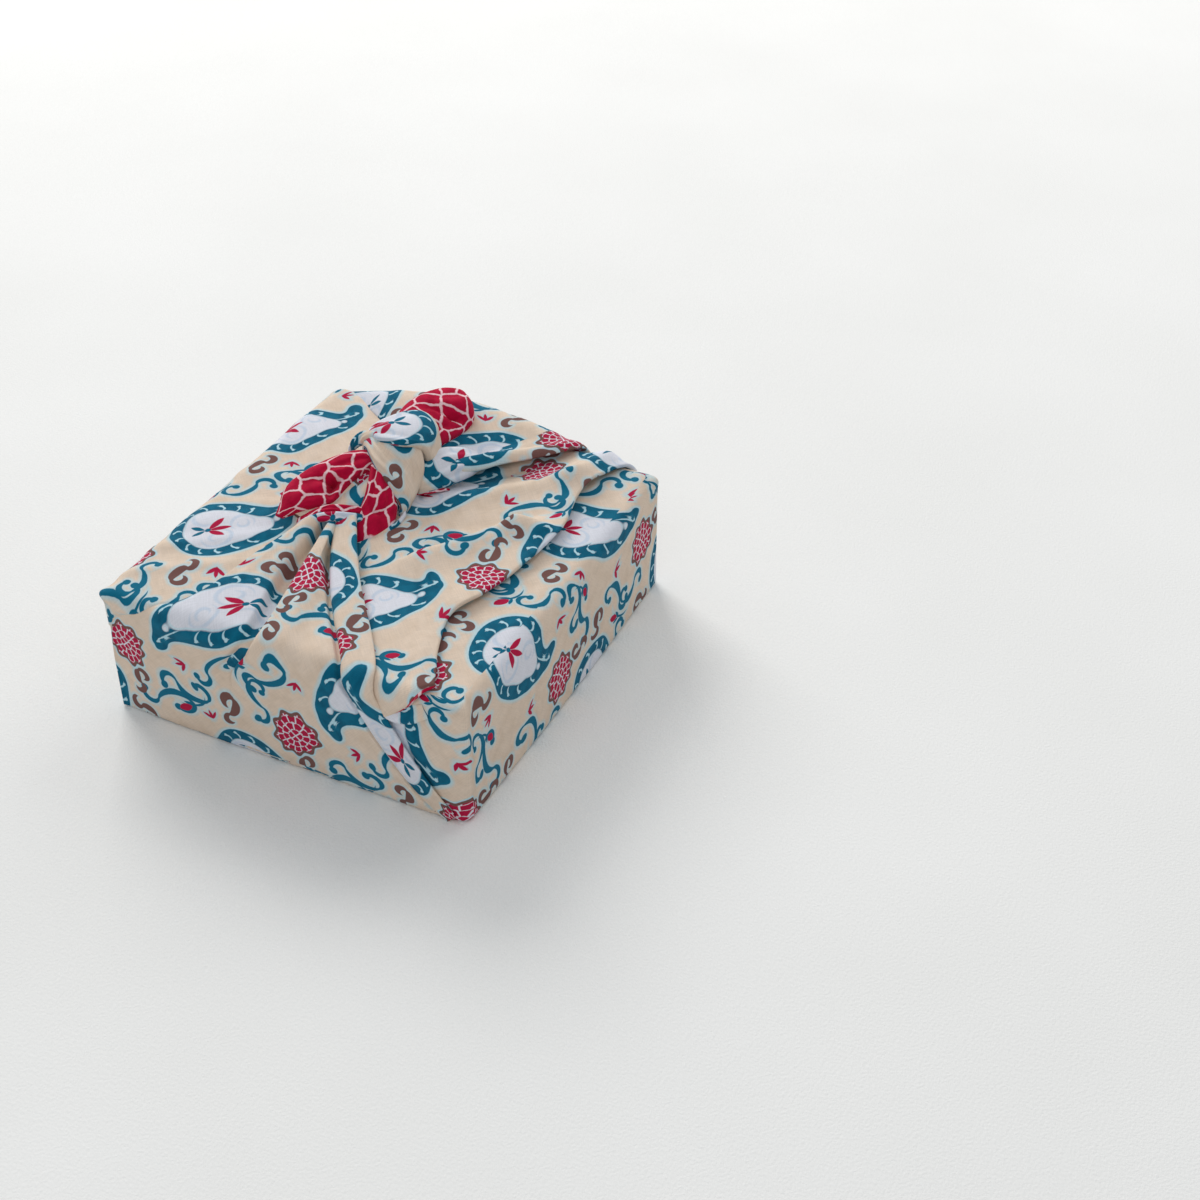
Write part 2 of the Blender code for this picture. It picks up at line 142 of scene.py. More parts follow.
class Pattern:
    """Short names for the nodes of one tree. Values are sockets, numbers or tuples."""

    def __init__(self, tree):
        self.tree = tree

    def join(self, value, slot):
        if isinstance(value, bpy.types.NodeSocket):
            self.tree.links.new(value, slot)
        else:
            slot.default_value = value

    def fill(self, node, values):
        """Joins values to a node's inputs, by their names or numbers."""
        for key, value in values.items():
            self.join(value, node.inputs[key])

    def node(self, kind, values=None, **settings):
        made = self.tree.nodes.new(kind)
        for name, value in settings.items():
            setattr(made, name, value)
        self.fill(made, values or {})
        return made

    def number(self, operation, *values):
        made = self.node("ShaderNodeMath", dict(enumerate(values)), operation=operation)
        return made.outputs[0]

    def plus(self, one, other):
        return self.number("ADD", one, other)

    def minus(self, one, other):
        return self.number("SUBTRACT", one, other)

    def times(self, one, other):
        return self.number("MULTIPLY", one, other)

    def over(self, one, other):
        return self.number("DIVIDE", one, other)

    def linear(self, value, factor, start):
        return self.number("MULTIPLY_ADD", value, factor, start)

    def absolute(self, value):
        return self.number("ABSOLUTE", value)

    def vector(self, operation, *values):
        made = self.node("ShaderNodeVectorMath", dict(enumerate(values)), operation=operation)
        return made.outputs["Value" if operation == "LENGTH" else "Vector"]

    def scaled(self, vector, factor):
        values = {"Vector": vector, "Scale": factor}
        return self.node("ShaderNodeVectorMath", values, operation="SCALE").outputs["Vector"]

    def parts(self, vector):
        return self.node("ShaderNodeSeparateXYZ", {0: vector}).outputs[:2]

    def pair(self, x, y):
        return self.node("ShaderNodeCombineXYZ", {0: x, 1: y}).outputs[0]

    def place(self, vector, x, y, turn=0):
        """The point as seen from a motif at (x, y), turned by so many degrees."""
        values = {"Vector": vector, "Location": (x, y, 0), "Rotation": (0, 0, math.radians(turn))}
        return self.node("ShaderNodeMapping", values, vector_type="TEXTURE").outputs[0]

    def least(self, *distances):
        result = distances[0]
        for distance in distances[1:]:
            result = self.number("MINIMUM", result, distance)
        return result

    def ramp(self, value, low, high, at_low=0, at_high=1):
        values = dict(enumerate((value, low, high, at_low, at_high)))
        return self.node("ShaderNodeMapRange", values, clamp=True).outputs[0]

    def inside(self, distance, grow=0.0, soft=0.12):
        """1 where the distance is below grow, 0 where it is above."""
        return self.ramp(distance, grow - soft, grow + soft, 1, 0)

    def paint(self, below, above, where):
        values = {0: where, 6: below, 7: above}
        return self.node("ShaderNodeMix", values, data_type="RGBA", clamp_factor=True).outputs[2]

    def noise(self, vector, scale, detail=2):
        values = {"Vector": vector, "Scale": scale, "Detail": detail}
        return self.node("ShaderNodeTexNoise", values).outputs["Fac"]

    def jitter(self, vector, scale, detail, reach):
        """Small uneven steps, up to half the reach each way."""
        colour = self.noise(vector, scale, detail).node.outputs["Color"]
        return self.scaled(self.vector("SUBTRACT", colour, (0.5, 0.5, 0.5)), reach)

    def turns(self, x, y):
        """How often the direction goes round, from -0.5 to 0.5."""
        return self.over(self.number("ARCTAN2", y, x), 2 * math.pi)

    def bump(self, height, strength, distance, shader):
        values = {"Strength": strength, "Distance": distance, "Height": height}
        self.join(self.node("ShaderNodeBump", values).outputs[0], shader.inputs["Normal"])

    # Shapes: distances in mm, below 0 inside

    def disc(self, vector, radius):
        return self.minus(self.vector("LENGTH", vector), radius)

    def almond(self, vector, half_length, half_width):
        """A pointed oval along x."""
        radius = (half_length**2 + half_width**2) / (2 * half_width)
        x, y = self.parts(vector)
        lifted = self.plus(self.absolute(y), radius - half_width)
        return self.disc(self.pair(x, lifted), radius)

    def stroke(self, vector, radius, half_span, half_width):
        """A brush stroke along an arc round the motif's middle, thick midway, thin at its ends."""
        x, y = self.parts(vector)
        share = self.over(self.number("ARCTAN2", y, x), math.radians(half_span))
        width = self.times(self.minus(1, self.times(share, share)), half_width)
        return self.minus(self.absolute(self.disc(vector, radius)), width)


# Inks of the print and colours of the reverse, linear
GROUND = (0.800, 0.655, 0.526, 1)
GROUND_WARM = (0.740, 0.590, 0.456, 1)
HALO = (0.480, 0.720, 0.800, 1)
TEAL = (0.004, 0.150, 0.250, 1)
TEAL_DEEP = (0.002, 0.105, 0.185, 1)
PALE = (0.760, 0.770, 0.830, 1)
PALE_BLUE = (0.570, 0.660, 0.780, 1)
CRIMSON = (0.470, 0.008, 0.055, 1)
BROWN = (0.190, 0.090, 0.078, 1)
REVERSE = (0.560, 0.005, 0.048, 1)
REVERSE_DEEP = (0.430, 0.003, 0.034, 1)
NET_LINE = (0.930, 0.640, 0.670, 1)

# The repeat of the print: columns this far apart, each dropped by half a repeat
REPEAT_ACROSS = 66.0
REPEAT_DOWN = 86.0

# Teal scrolls in one repeat: an arc, thick midway, whose ends curl inward (1) or outward (-1)
SCROLLS = (
    # x, y, turn, radius, half span, half width, start, end, curl's radius
    (31, -33, 205, 10.5, 62, 1.6, -1, 1, 3.8),
    (32, -8, 15, 10, 64, 1.6, 1, -1, 3.6),
    (30, 14, 165, 8.5, 62, 1.4, -1, 1, 3.2),
    (23, 33, 60, 9.5, 60, 1.5, 1, -1, 3.4),
    (-22, 47, 120, 8.5, 60, 1.4, -1, 1, 3.2),
)
# Brown leaves that curl at both ends: as the scrolls
CURLS = (
    # x, y, turn, radius, half span, half width, start, end, curl's radius
    (24.5, -13.5, 250, 4, 64, 1.8, -1, 1, 2.3),
    (38, 27, 330, 4.6, 66, 2, 1, -1, 2.5),
    (12, -29.5, 130, 4.4, 62, 1.8, -1, 1, 2.4),
)
# The end curls: where on the arc they start, how they turn, how far they reach and where on them
# a bulb sits, as shares of their arc's half span or in degrees
CURL_START = 0.86
CURL_TURN = 95.0
CURL_SPAN = 124.0
CURL_WIDTH = 0.8
CURL_BULB = 0.8
BULB_SHARE = 1.15
# Crimson buds on teal stems: the bud's middle and the way that its tip points
BUDS = (
    # x, y, turn
    (27.5, 1.5, 250),
    (31, 47, 100),
)
# The bud's half length and half width, a sepal's place, turn and size, the stem's place and stroke
BUD = (3, 1.9)
SEPAL = (-2.8, 1.5, 38)
SEPAL_SIZE = (2.4, 0.75)
STEM = (-6, 9, 270)
STEM_STROKE = (9, 46, 0.6)
# Small crimson sprays of three petals
SPRAYS = (
    # x, y, turn
    (-20.5, 28.5, 60),
    (-26, -3, 200),
    (17.5, 29, 110),
)
SPRAY_LEANS = (-42, 0, 42)
SPRAY_REACH = 2.4
SPRAY_PETAL = (2.8, 0.8)
# The rosette: rings of petals, so many in the first and so many more in each next, in a lobed rim
ROSE_PLACE = (-3.0, 50.5)
ROSE_RADIUS = 8.6
ROSE_RINGS = 3
FIRST_PETALS = 4
MORE_PETALS = 5
ROSE_RIM = 1.6
ROSE_LOBES = 9
LOBE_DEEP = 0.9
PETAL_BOW = 2.6
# The pale teardrop with its tip bent over: discs along its spine, blended into one shape
DROP_DISCS = (
    # x, y, radius
    (0, 0, 18.4),
    (1, 9.4, 14.6),
    (3.4, 17, 10.6),
    (7.6, 23.2, 7),
    (12.8, 26.8, 4.6),
    (17.8, 26.8, 2.9),
)
DROP_TURN = 24.0
DROP_BLEND = 3.6
BORDER = 5.6
BORDER_LEAVES = 15
# A mark in the border: a dot, as x, y, and a curled leaf, as x, y, turn, then their sizes
BORDER_DOT = (1.2, 1.1)
BORDER_DOT_RADIUS = 0.75
BORDER_LEAF = (0.2, -0.7, 20)
BORDER_LEAF_STROKE = (1.9, 80, 0.46)
# Faint swirls on the pale ground of the teardrop: place, turn, radius, half span, half width
SWIRLS = (
    (-5.5, 2, 120, 5.6, 120, 0.8),
    (5, 9, 330, 4.8, 120, 0.8),
    (6.5, -6, 230, 4.6, 110, 0.8),
    (-5.5, 2.2, 300, 2.6, 120, 0.7),
    (5, 9.2, 150, 2.3, 120, 0.7),
)
# The flower within it: petals from one point, with a teal heart and two leaves
FLOWER_PLACE = (-0.5, -3, 70)
FLOWER_PETALS = (
    # reach, lean, half length, half width
    (4.6, 0, 4, 1.25),
    (4.4, 46, 4, 1.3),
    (4.4, -46, 4, 1.3),
)
FLOWER_LEAVES = ((-3.6, 1.7, 150), (-3.6, -1.7, 210))
FLOWER_LEAF = (3, 1)
FLOWER_HEART = 1.1
# Unevenness of the printed lines and of the net: scale, detail, reach in mm
PRINT_WOBBLE = (0.05, 0, 6)
PRINT_FRINGE = (0.75, 2, 0.24)
NET_WOBBLE = (0.35, 2, 1.6)
# The net on the reverse: size of a cell, how uneven, and the line's half width inside and out
NET_CELL = 8.2
NET_UNEVEN = 0.72
NET_HALF_LINE = (0.040, 0.075)


def repeat_group():
    """Node group that folds the plane into one repeat round a motif, in dropped columns."""
    tree = bpy.data.node_groups.new("dropped repeat", "ShaderNodeTree")
    tree.interface.new_socket("Vector", in_out="INPUT", socket_type="NodeSocketVector")
    tree.interface.new_socket("Place", in_out="INPUT", socket_type="NodeSocketVector")
    tree.interface.new_socket("Vector", in_out="OUTPUT", socket_type="NodeSocketVector")
    p = Pattern(tree)
    start = p.node("NodeGroupInput")
    x, y = p.parts(p.vector("SUBTRACT", start.outputs[0], start.outputs[1]))
    column = p.number("ROUND", p.over(x, REPEAT_ACROSS))
    local_x = p.linear(column, -REPEAT_ACROSS, x)
    dropped = p.linear(column, -REPEAT_DOWN / 2, y)
    row = p.number("ROUND", p.over(dropped, REPEAT_DOWN))
    local_y = p.linear(row, -REPEAT_DOWN, dropped)
    folded = p.pair(local_x, local_y)
    # The output node comes last: Cycles keeps values in this order, and its store is small
    p.join(folded, p.node("NodeGroupOutput").inputs[0])
    return tree


def repeated(p, group, vector, x, y):
    """The plane folded into one repeat round (x, y)."""
    values = {0: vector, 1: (x, y, 0)}
    return p.node("ShaderNodeGroup", values, node_tree=group).outputs[0]


def teardrop_print(p, vector, colour):
    """A pale teardrop with a teal border, leaves in the border and a crimson flower inside."""
    local = p.place(vector, 0, 0, DROP_TURN)
    shape = None
    for x, y, radius in DROP_DISCS:
        disc = p.disc(p.place(local, x, y), radius)
        shape = disc if shape is None else p.number("SMOOTH_MIN", shape, disc, DROP_BLEND)
    colour = p.paint(colour, HALO, p.inside(shape, 1.0, 0.9))
    deep = p.noise(local, 0.22, 2)
    ink = p.paint(TEAL, TEAL_DEEP, p.ramp(deep, 0.35, 0.65))
    colour = p.paint(colour, ink, p.inside(shape))
    x, y = p.parts(local)
    radius = p.vector("LENGTH", local)
    along = p.linear(p.turns(x, y), BORDER_LEAVES, 50)
    cell = p.minus(p.number("FRACT", along), 0.5)
    off_x = p.times(cell, p.times(radius, 2 * math.pi / BORDER_LEAVES))
    off_y = p.plus(shape, BORDER * 0.55)
    border_cell = p.pair(off_x, off_y)
    marks = p.least(
        p.disc(p.place(border_cell, *BORDER_DOT), BORDER_DOT_RADIUS),
        p.stroke(p.place(border_cell, *BORDER_LEAF), *BORDER_LEAF_STROKE),
    )
    colour = p.paint(colour, HALO, p.inside(marks))
    colour = p.paint(colour, PALE, p.inside(shape, -BORDER, 0.3))
    rim = p.absolute(p.plus(shape, BORDER + 0.4))
    colour = p.paint(colour, HALO, p.times(p.inside(rim, 0.2, 0.3), 0.8))
    swirls = p.least(*[
        p.stroke(p.place(local, x, y, turn), *sizes) for x, y, turn, *sizes in SWIRLS
    ])
    within = p.inside(shape, -BORDER - 0.8, 0.4)
    colour = p.paint(colour, PALE_BLUE, p.times(p.inside(swirls, 0.1, 0.4), p.times(within, 0.75)))
    flower = p.place(local, *FLOWER_PLACE)
    petals = p.least(*[
        p.almond(p.place(p.place(flower, 0, 0, lean), reach, 0), length, width)
        for reach, lean, length, width in FLOWER_PETALS
    ])
    leaves = p.least(*[p.almond(p.place(flower, *spot), *FLOWER_LEAF) for spot in FLOWER_LEAVES])
    colour = p.paint(colour, CRIMSON, p.times(p.inside(petals), within))
    heart = p.disc(flower, FLOWER_HEART)
    return p.paint(colour, TEAL, p.times(p.inside(p.least(leaves, heart)), within))


def rose(p, vector, colour):
    """A round crimson rosette in rings of petals, with a lobed brown rim."""
    x, y = p.parts(vector)
    radius = p.vector("LENGTH", vector)
    ring_width = ROSE_RADIUS / ROSE_RINGS
    ring = p.number("FLOOR", p.over(radius, ring_width))
    petals = p.linear(ring, MORE_PETALS, FIRST_PETALS)
    turns = p.turns(x, y)
    first = p.linear(ring, 0.5, 20)
    petal = p.number("FRACT", p.linear(turns, petals, first))
    off_middle = p.absolute(p.minus(petal, 0.5))
    bow = p.times(p.times(off_middle, off_middle), PETAL_BOW)
    within = p.number("MODULO", p.plus(radius, bow), ring_width)
    arc_line = p.inside(within, 0.34, 0.14)
    side = p.times(p.minus(0.5, off_middle), p.over(radius, petals))
    side_line = p.ramp(side, 0.025, 0.06, 1.0, 0.0)
    lobes = p.number("COSINE", p.times(turns, 2 * math.pi * ROSE_LOBES))
    rim = p.minus(p.linear(lobes, -LOBE_DEEP, radius), ROSE_RADIUS)
    brown = p.minus(rim, ROSE_RIM)
    colour = p.paint(colour, HALO, p.inside(brown, 0.8, 0.5))
    colour = p.paint(colour, BROWN, p.inside(brown))
    colour = p.paint(colour, CRIMSON, p.inside(rim, 0.1))
    lines = p.number("MAXIMUM", arc_line, side_line)
    return p.paint(colour, PALE, p.times(lines, p.inside(rim, 0.1)))


def scroll(p, local, radius, span, width, start, end, curl_radius, bulbs=True):
    """A tapered arc that goes on at each end into a smaller curl."""
    shape = p.stroke(local, radius, span, width)
    for side, way in ((-1, start), (1, end)):
        leaves_at = side * span * CURL_START
        reach = radius - way * curl_radius
        angle = math.radians(leaves_at)
        facing = leaves_at if way > 0 else leaves_at + 180
        facing += side * way * CURL_TURN
        curl = p.place(local, reach * math.cos(angle), reach * math.sin(angle), facing)
        arc = p.stroke(curl, curl_radius, CURL_SPAN, width * CURL_WIDTH)
        shape = p.number("SMOOTH_MIN", shape, arc, 0.6)
        if bulbs:
            tip = math.radians(side * way * CURL_SPAN * CURL_BULB)
            bulb = p.place(curl, curl_radius * math.cos(tip), curl_radius * math.sin(tip))
            shape = p.number("SMOOTH_MIN", shape, p.disc(bulb, width * BULB_SHARE), 0.5)
    return shape


def print_colour(p, place):
    """The printed face: scrolls, curled leaves, buds, roses and teardrops on a beige ground."""
    group = repeat_group()
    wobble = p.jitter(place, *PRINT_WOBBLE)
    fringe = p.jitter(place, *PRINT_FRINGE)
    place = p.vector("ADD", p.vector("ADD", place, wobble), fringe)
    mottle = p.noise(place, 0.16, 3)
    colour = p.paint(GROUND, GROUND_WARM, p.ramp(mottle, 0.35, 0.7))

    shapes = {TEAL: None, BROWN: None, CRIMSON: None}

    def add(ink, shape):
        shapes[ink] = shape if shapes[ink] is None else p.least(shapes[ink], shape)

    def motif(x, y, turn):
        return p.place(repeated(p, group, place, x, y), 0, 0, turn)

    for ink, table in ((TEAL, SCROLLS), (BROWN, CURLS)):
        for x, y, turn, *sizes in table:
            add(ink, scroll(p, motif(x, y, turn), *sizes, bulbs=ink == TEAL))
    for bud in BUDS:
        local = motif(*bud)
        add(CRIMSON, p.almond(local, *BUD))
        x, y, turn = SEPAL
        for side in (-1, 1):
            add(TEAL, p.almond(p.place(local, x, y * side, turn * side), *SEPAL_SIZE))
        add(TEAL, p.stroke(p.place(local, *STEM), *STEM_STROKE))
    for spray in SPRAYS:
        local = motif(*spray)
        for lean in SPRAY_LEANS:
            petal = p.place(p.place(local, 0, 0, lean), SPRAY_REACH, 0)
            add(CRIMSON, p.almond(petal, *SPRAY_PETAL))
    near = p.least(*shapes.values())
    colour = p.paint(colour, HALO, p.times(p.inside(near, 0.95, 1), 0.85))
    for ink, shape in shapes.items():
        colour = p.paint(colour, ink, p.inside(shape))
    colour = rose(p, repeated(p, group, place, *ROSE_PLACE), colour)
    return teardrop_print(p, repeated(p, group, place, 0, 0), colour)


def net_colour(p, place):
    """The reverse: crimson with a thin pink net of uneven six-sided cells."""
    shift = p.jitter(place, *NET_WOBBLE)
    cells = p.node("ShaderNodeTexVoronoi", voronoi_dimensions="2D", feature="DISTANCE_TO_EDGE")
    moved = p.vector("ADD", place, shift)
    p.fill(cells, {"Vector": moved, "Scale": 1 / NET_CELL, "Randomness": NET_UNEVEN})
    mottle = p.noise(place, 0.3, 3)
    colour = p.paint(REVERSE, REVERSE_DEEP, p.ramp(mottle, 0.35, 0.7))
    return p.paint(colour, NET_LINE, p.ramp(cells.outputs["Distance"], *NET_HALF_LINE, 1, 0))


# The weave: thread's wavelength, bump in mm and its strength, how much thick threads darken, and
# how close their slubs lie across and along the threads
THREAD = 0.52
WEAVE_DEEP = 0.16
WEAVE_STRENGTH = 0.55
SLUB = 0.10
SLUB_SHORT = 2.2
SLUB_LONG = 0.16
# The floor cloth: its two tones, and its bump's strength and depth in m
FLOOR_TONES = ((0.815, 0.812, 0.790, 1), (0.860, 0.857, 0.838, 1))
FLOOR_BUMP = (0.35, 0.0006)


def new_material(name):
    material = bpy.data.materials.new(name)
    material.use_nodes = True
    return material, Pattern(material.node_tree), material.node_tree.nodes["Principled BSDF"]


def cloth_material(name, colour_of):
    """Matt plain-weave cotton. Threads run along the cloth's edges, at 45 degrees to the bundle."""
    material, p, shader = new_material(name)
    chart = p.node("ShaderNodeUVMap", uv_map=UV_MAP)
    place = p.place(p.scaled(chart.outputs[0], 1 / MM), 0, 0, 45)
    colour = colour_of(p, place)

    across, along = p.parts(place)
    wave_x = p.number("SINE", p.times(across, 2 * math.pi / THREAD))
    wave_y = p.number("SINE", p.times(along, 2 * math.pi / THREAD))
    weave = p.times(wave_x, wave_y)
    warp = p.noise(p.pair(p.times(across, SLUB_SHORT), p.times(along, SLUB_LONG)), 1)
    weft = p.noise(p.pair(p.times(across, SLUB_LONG), p.times(along, SLUB_SHORT)), 1)
    slub = p.plus(warp, weft)
    shade = p.linear(slub, 2 * SLUB, 1 - 2 * SLUB)
    shade = p.linear(weave, 0.05, shade)
    p.join(p.scaled(colour, shade), shader.inputs["Base Color"])

    p.bump(p.linear(slub, 0.9, weave), WEAVE_STRENGTH, WEAVE_DEEP * MM, shader)
    p.join(p.ramp(slub, 0.6, 1.4, 0.78, 0.92), shader.inputs["Roughness"])
    p.fill(shader, {"Specular IOR Level": 0.06, "Sheen Weight": 0.05, "Sheen Roughness": 0.45})
    return material


def floor_material():
    material, p, shader = new_material("pale table cloth")
    chart = p.node("ShaderNodeTexCoord").outputs["Object"]
    fine = p.noise(chart, 900, 3)
    broad = p.noise(chart, 7, 2)
    tone = p.plus(p.times(fine, 0.35), p.times(broad, 0.65))
    p.join(p.paint(*FLOOR_TONES, p.ramp(tone, 0.3, 0.7)), shader.inputs["Base Color"])
    p.bump(fine, *FLOOR_BUMP, shader)
    p.fill(shader, {"Roughness": 0.9, "Specular IOR Level": 0.15})
    return material


# ---------------------------------------------------------------- shape helpers


def cubic_rows(table, slope, steps):
    """Points of the cubic curve through the rows with these slopes, every column alike."""
    t = (np.arange(steps) / steps)[:, None]
    spans = [
        a * (2 * t**3 - 3 * t**2 + 1) + m * (t**3 - 2 * t**2 + t)
        + b * (3 * t**2 - 2 * t**3) + n * (t**3 - t**2)
        for a, b, m, n in zip(table[:-1], table[1:], slope[:-1], slope[1:])
    ]
    return np.vstack([*spans, table[-1:]])


def smooth_rows(rows, steps):
    """Catmull-Rom curve through the rows."""
    table = np.array(rows, dtype=float)
    return cubic_rows(table, np.gradient(table, axis=0), steps)


def crisp_rows(table, steps):
    """Curve through the rows that never overshoots them: ridges stay sharp, valleys stay deep."""
    step = np.diff(table, axis=0)
    same_way = step[:-1] * step[1:] > 0
    total = np.where(same_way, step[:-1] + step[1:], 1)
    middle = np.where(same_way, 2 * step[:-1] * step[1:] / total, 0)
    return cubic_rows(table, np.vstack([step[:1], middle, step[-1:]]), steps)


def walked_along(points):
    """How far along the points each one lies."""
    return np.append(0, np.cumsum(np.linalg.norm(np.diff(points, axis=0), axis=1)))


def unit_rows(vectors):
    return vectors / np.linalg.norm(vectors, axis=-1, keepdims=True)


def on_net(x, net_y, height):
    """Places of points on the cloth's net, past the edges of the top at +Y and -Y."""
    walked = np.abs(net_y) - NET_EDGE
    angle = np.clip(walked / TOP_ROUND, 0, math.pi / 2)
    down = np.maximum(walked - TOP_ROUND * math.pi / 2, 0)
    reach = NET_EDGE + np.minimum(walked, 0) + (TOP_ROUND + height) * np.sin(angle)
    z = SIZE_Z - TOP_ROUND + (TOP_ROUND + height) * np.cos(angle) - down
    return np.stack([x + 0 * z, np.sign(net_y) * reach, z], axis=-1)


def fold_relief(x, y, folds):
    """Height of soft folds at points: each runs between two points, unlike to its two sides."""
    total = np.zeros(np.broadcast(x, y).shape)
    for x0, y0, x1, y1, height, near_width, far_width, end in folds:
        length = math.hypot(x1 - x0, y1 - y0)
        run_x = (x1 - x0) / length
        run_y = (y1 - y0) / length
        along = (x - x0) * run_x + (y - y0) * run_y
        across = run_x * (y - y0) - run_y * (x - x0)
        width = np.where(across > 0, far_width, near_width)
        past = np.maximum(0, np.maximum(-along, along - length)) / end
        total += height * np.exp(-((across / width) ** 2) - past**2)
    return total


def drawn_relief(along, around, lines):
    """Relief of creases and ridges drawn on a surface: each a line of places with their heights,
    unlike to its two sides."""
    total = np.zeros(np.broadcast(along, around).shape)
    for near_width, far_width, points in lines:
        nearest = np.full(total.shape, np.inf)
        height = np.zeros(total.shape)
        for (x0, y0, h0), (x1, y1, h1) in zip(points, points[1:]):
            run_x = x1 - x0
            run_y = y1 - y0
            share = ((along - x0) * run_x + (around - y0) * run_y) / (run_x**2 + run_y**2)
            share = np.clip(share, 0, 1)
            off_x = along - x0 - share * run_x
            off_y = around - y0 - share * run_y
            width = np.where(run_x * off_y - run_y * off_x > 0, far_width, near_width)
            apart = np.hypot(off_x, off_y) / width
            height = np.where(apart < nearest, h0 + share * (h1 - h0), height)
            nearest = np.minimum(nearest, apart)
        total += height * np.exp(-(nearest**2))
    return total


CRUMPLE_WAVES = 7


def crumple(x, y, size, seed):
    """Faint unevenness of handled cloth: a sum of slanting waves, the same on each run."""
    rng = np.random.default_rng(seed)
    total = np.zeros(np.broadcast(x, y).shape)
    for wave in range(CRUMPLE_WAVES):
        length = 9 + 3.6 * wave
        turn = rng.uniform(0, 2 * math.pi)
        phase = rng.uniform(0, 2 * math.pi)
        along = x * math.cos(turn) + y * math.sin(turn)
        sideways = x * math.sin(turn) - y * math.cos(turn)
        bend = 0.8 * np.sin(sideways * 2 * math.pi / (2.7 * length))
        total += np.sin(along * 2 * math.pi / length + phase + bend) * length / 30
    return total * size / CRUMPLE_WAVES


# Where the cloth is pulled out or tucked in at the body's corners: centre, pull, reach
CORNER_PULLS = (
    ((-80, -85, 56.5), (-1.9, -1.5, 1.2), 4.2),
    ((-77.5, -87, 51.5), (0.4, 1.9, -0.3), 3.2),
    ((-80.5, -85, 40), (0.5, 0.5, 0), 9),
    ((80, 85, 56), (0.8, 0.8, 0.2), 4),
)


def pulled(places):
    """Places of a sheet after the pulls at the corners."""
    moved = places.copy()
    for centre, pull, reach in CORNER_PULLS:
        apart = np.sum((places - np.array(centre)) ** 2, axis=-1) / reach**2
        moved += np.exp(-apart)[..., None] * np.array(pull)
    return moved


def make_piece(name, places, chart, materials, closed=False, thick=None, swapped=None):
    """A smooth mesh over a grid of places in mm. chart: the cloth's own places at the corners of
    each face, (rows - 1, columns, 4, 2). closed: the last column joins the first. swapped: True
    at the points whose faces take the second material."""
    rows, columns = places.shape[:2]
    spans = columns if closed else columns - 1
    i, j = np.meshgrid(np.arange(rows - 1), np.arange(spans), indexing="ij")
    k = (j + 1) % columns
    corners = np.stack([i * columns + j, i * columns + k, (i + 1) * columns + k,
                        (i + 1) * columns + j], -1).reshape(-1, 4)
    points = places.reshape(-1, 3)
    a, b, c, d = (points[corners[:, n]] for n in range(4))
    if closed:
        centre = np.repeat(places.mean(1)[:-1], spans, axis=0)
    else:
        centre = np.array([0, 0, SIZE_Z / 3])
    inward = np.sum(np.cross(c - a, d - b) * ((a + b + c + d) / 4 - centre)) < 0
    if inward:
        corners = corners[:, ::-1]
        chart = chart[..., ::-1, :]
    flat = chart.reshape(-1, 2)
    caps = []
    if closed:
        first = list(range(columns))
        last = [(rows - 1) * columns + n for n in first]
        caps = [first, last[::-1]] if inward else [first[::-1], last]
        flat = np.vstack([flat, np.repeat(flat[:1], 2 * columns, axis=0)])
    mesh = bpy.data.meshes.new(name)
    mesh.from_pydata((points * MM).tolist(), [], corners.tolist() + caps)
    layer = mesh.uv_layers.new(name=UV_MAP)
    layer.uv.foreach_set("vector", (flat * MM).astype(np.float32).ravel())
    for material in materials:
        mesh.materials.append(material)
    if swapped is not None:
        mesh.polygons.foreach_set("material_index", swapped[:-1, :-1].astype(np.int32).ravel())
    mesh.shade_smooth()
    item = bpy.data.objects.new(name, mesh)
    bpy.context.scene.collection.objects.link(item)
    if thick:
        wall = item.modifiers.new("cloth", "SOLIDIFY")
        wall.thickness = thick * MM
        wall.offset = -1
        wall.material_offset = len(materials) - 1
        wall.material_offset_rim = 0
    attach(item, "root")
    return item


def lying_sheet(name, net_x, net_y, height, chart, materials, swapped=None):
    places = pulled(on_net(net_x, net_y, height))
    return make_piece(name, places, chart, materials, thick=CLOTH_THICK, swapped=swapped)


def corner_chart(u, v, closed=False):
    """The cloth's places at the corners of each face, from those at the points."""
    chart = np.stack([u, v], -1)
    if closed:
        chart = np.concatenate([chart, chart[:, :1]], axis=1)
    return np.stack([chart[:-1, :-1], chart[:-1, 1:], chart[1:, 1:], chart[1:, :-1]], axis=2)


def slanted_chart(start_u, start_v, turn, walked, around):
    """Chart of a closed section that runs over the cloth at an angle in degrees. The last column
    of faces goes on past the last point."""
    around = np.broadcast_to(around, (len(walked), around.shape[-1]))
    around = np.column_stack([around, 2 * around[:, -1] - around[:, -2]])
    slant = math.radians(turn)
    u = start_u + walked[:, None] * math.cos(slant) - around * math.sin(slant)
    v = start_v + walked[:, None] * math.sin(slant) + around * math.cos(slant)
    return corner_chart(u, v)


# ---------------------------------------------------------------- the wrap round the body

# Steps of the grid: of a corner and a side round the body, and of the profile up it
CORNER_STEPS = 10
SIDE_STEPS = 54
BASE_STEPS = 8
ROUND_STEPS = 7
WALL_STEPS = 26
TOP_STEPS = 26
# The rings stop at this share of the outline's size, short of the middle of the base and the top
SMALLEST_RING = 0.02
WRAP_SLACK = 0.55
# Soft dents and folds of the lower layer on the top, as x0, y0, x1, y1, height, widths, end
LOWER_FOLDS = (
    (52, 10, 76, 22, 0.5, 6, 9, 9),
    (56, -40, 78, -34, 0.5, 8, 6, 9),
    (56, 60, 76, 78, 0.7, 5, 8, 9),
)
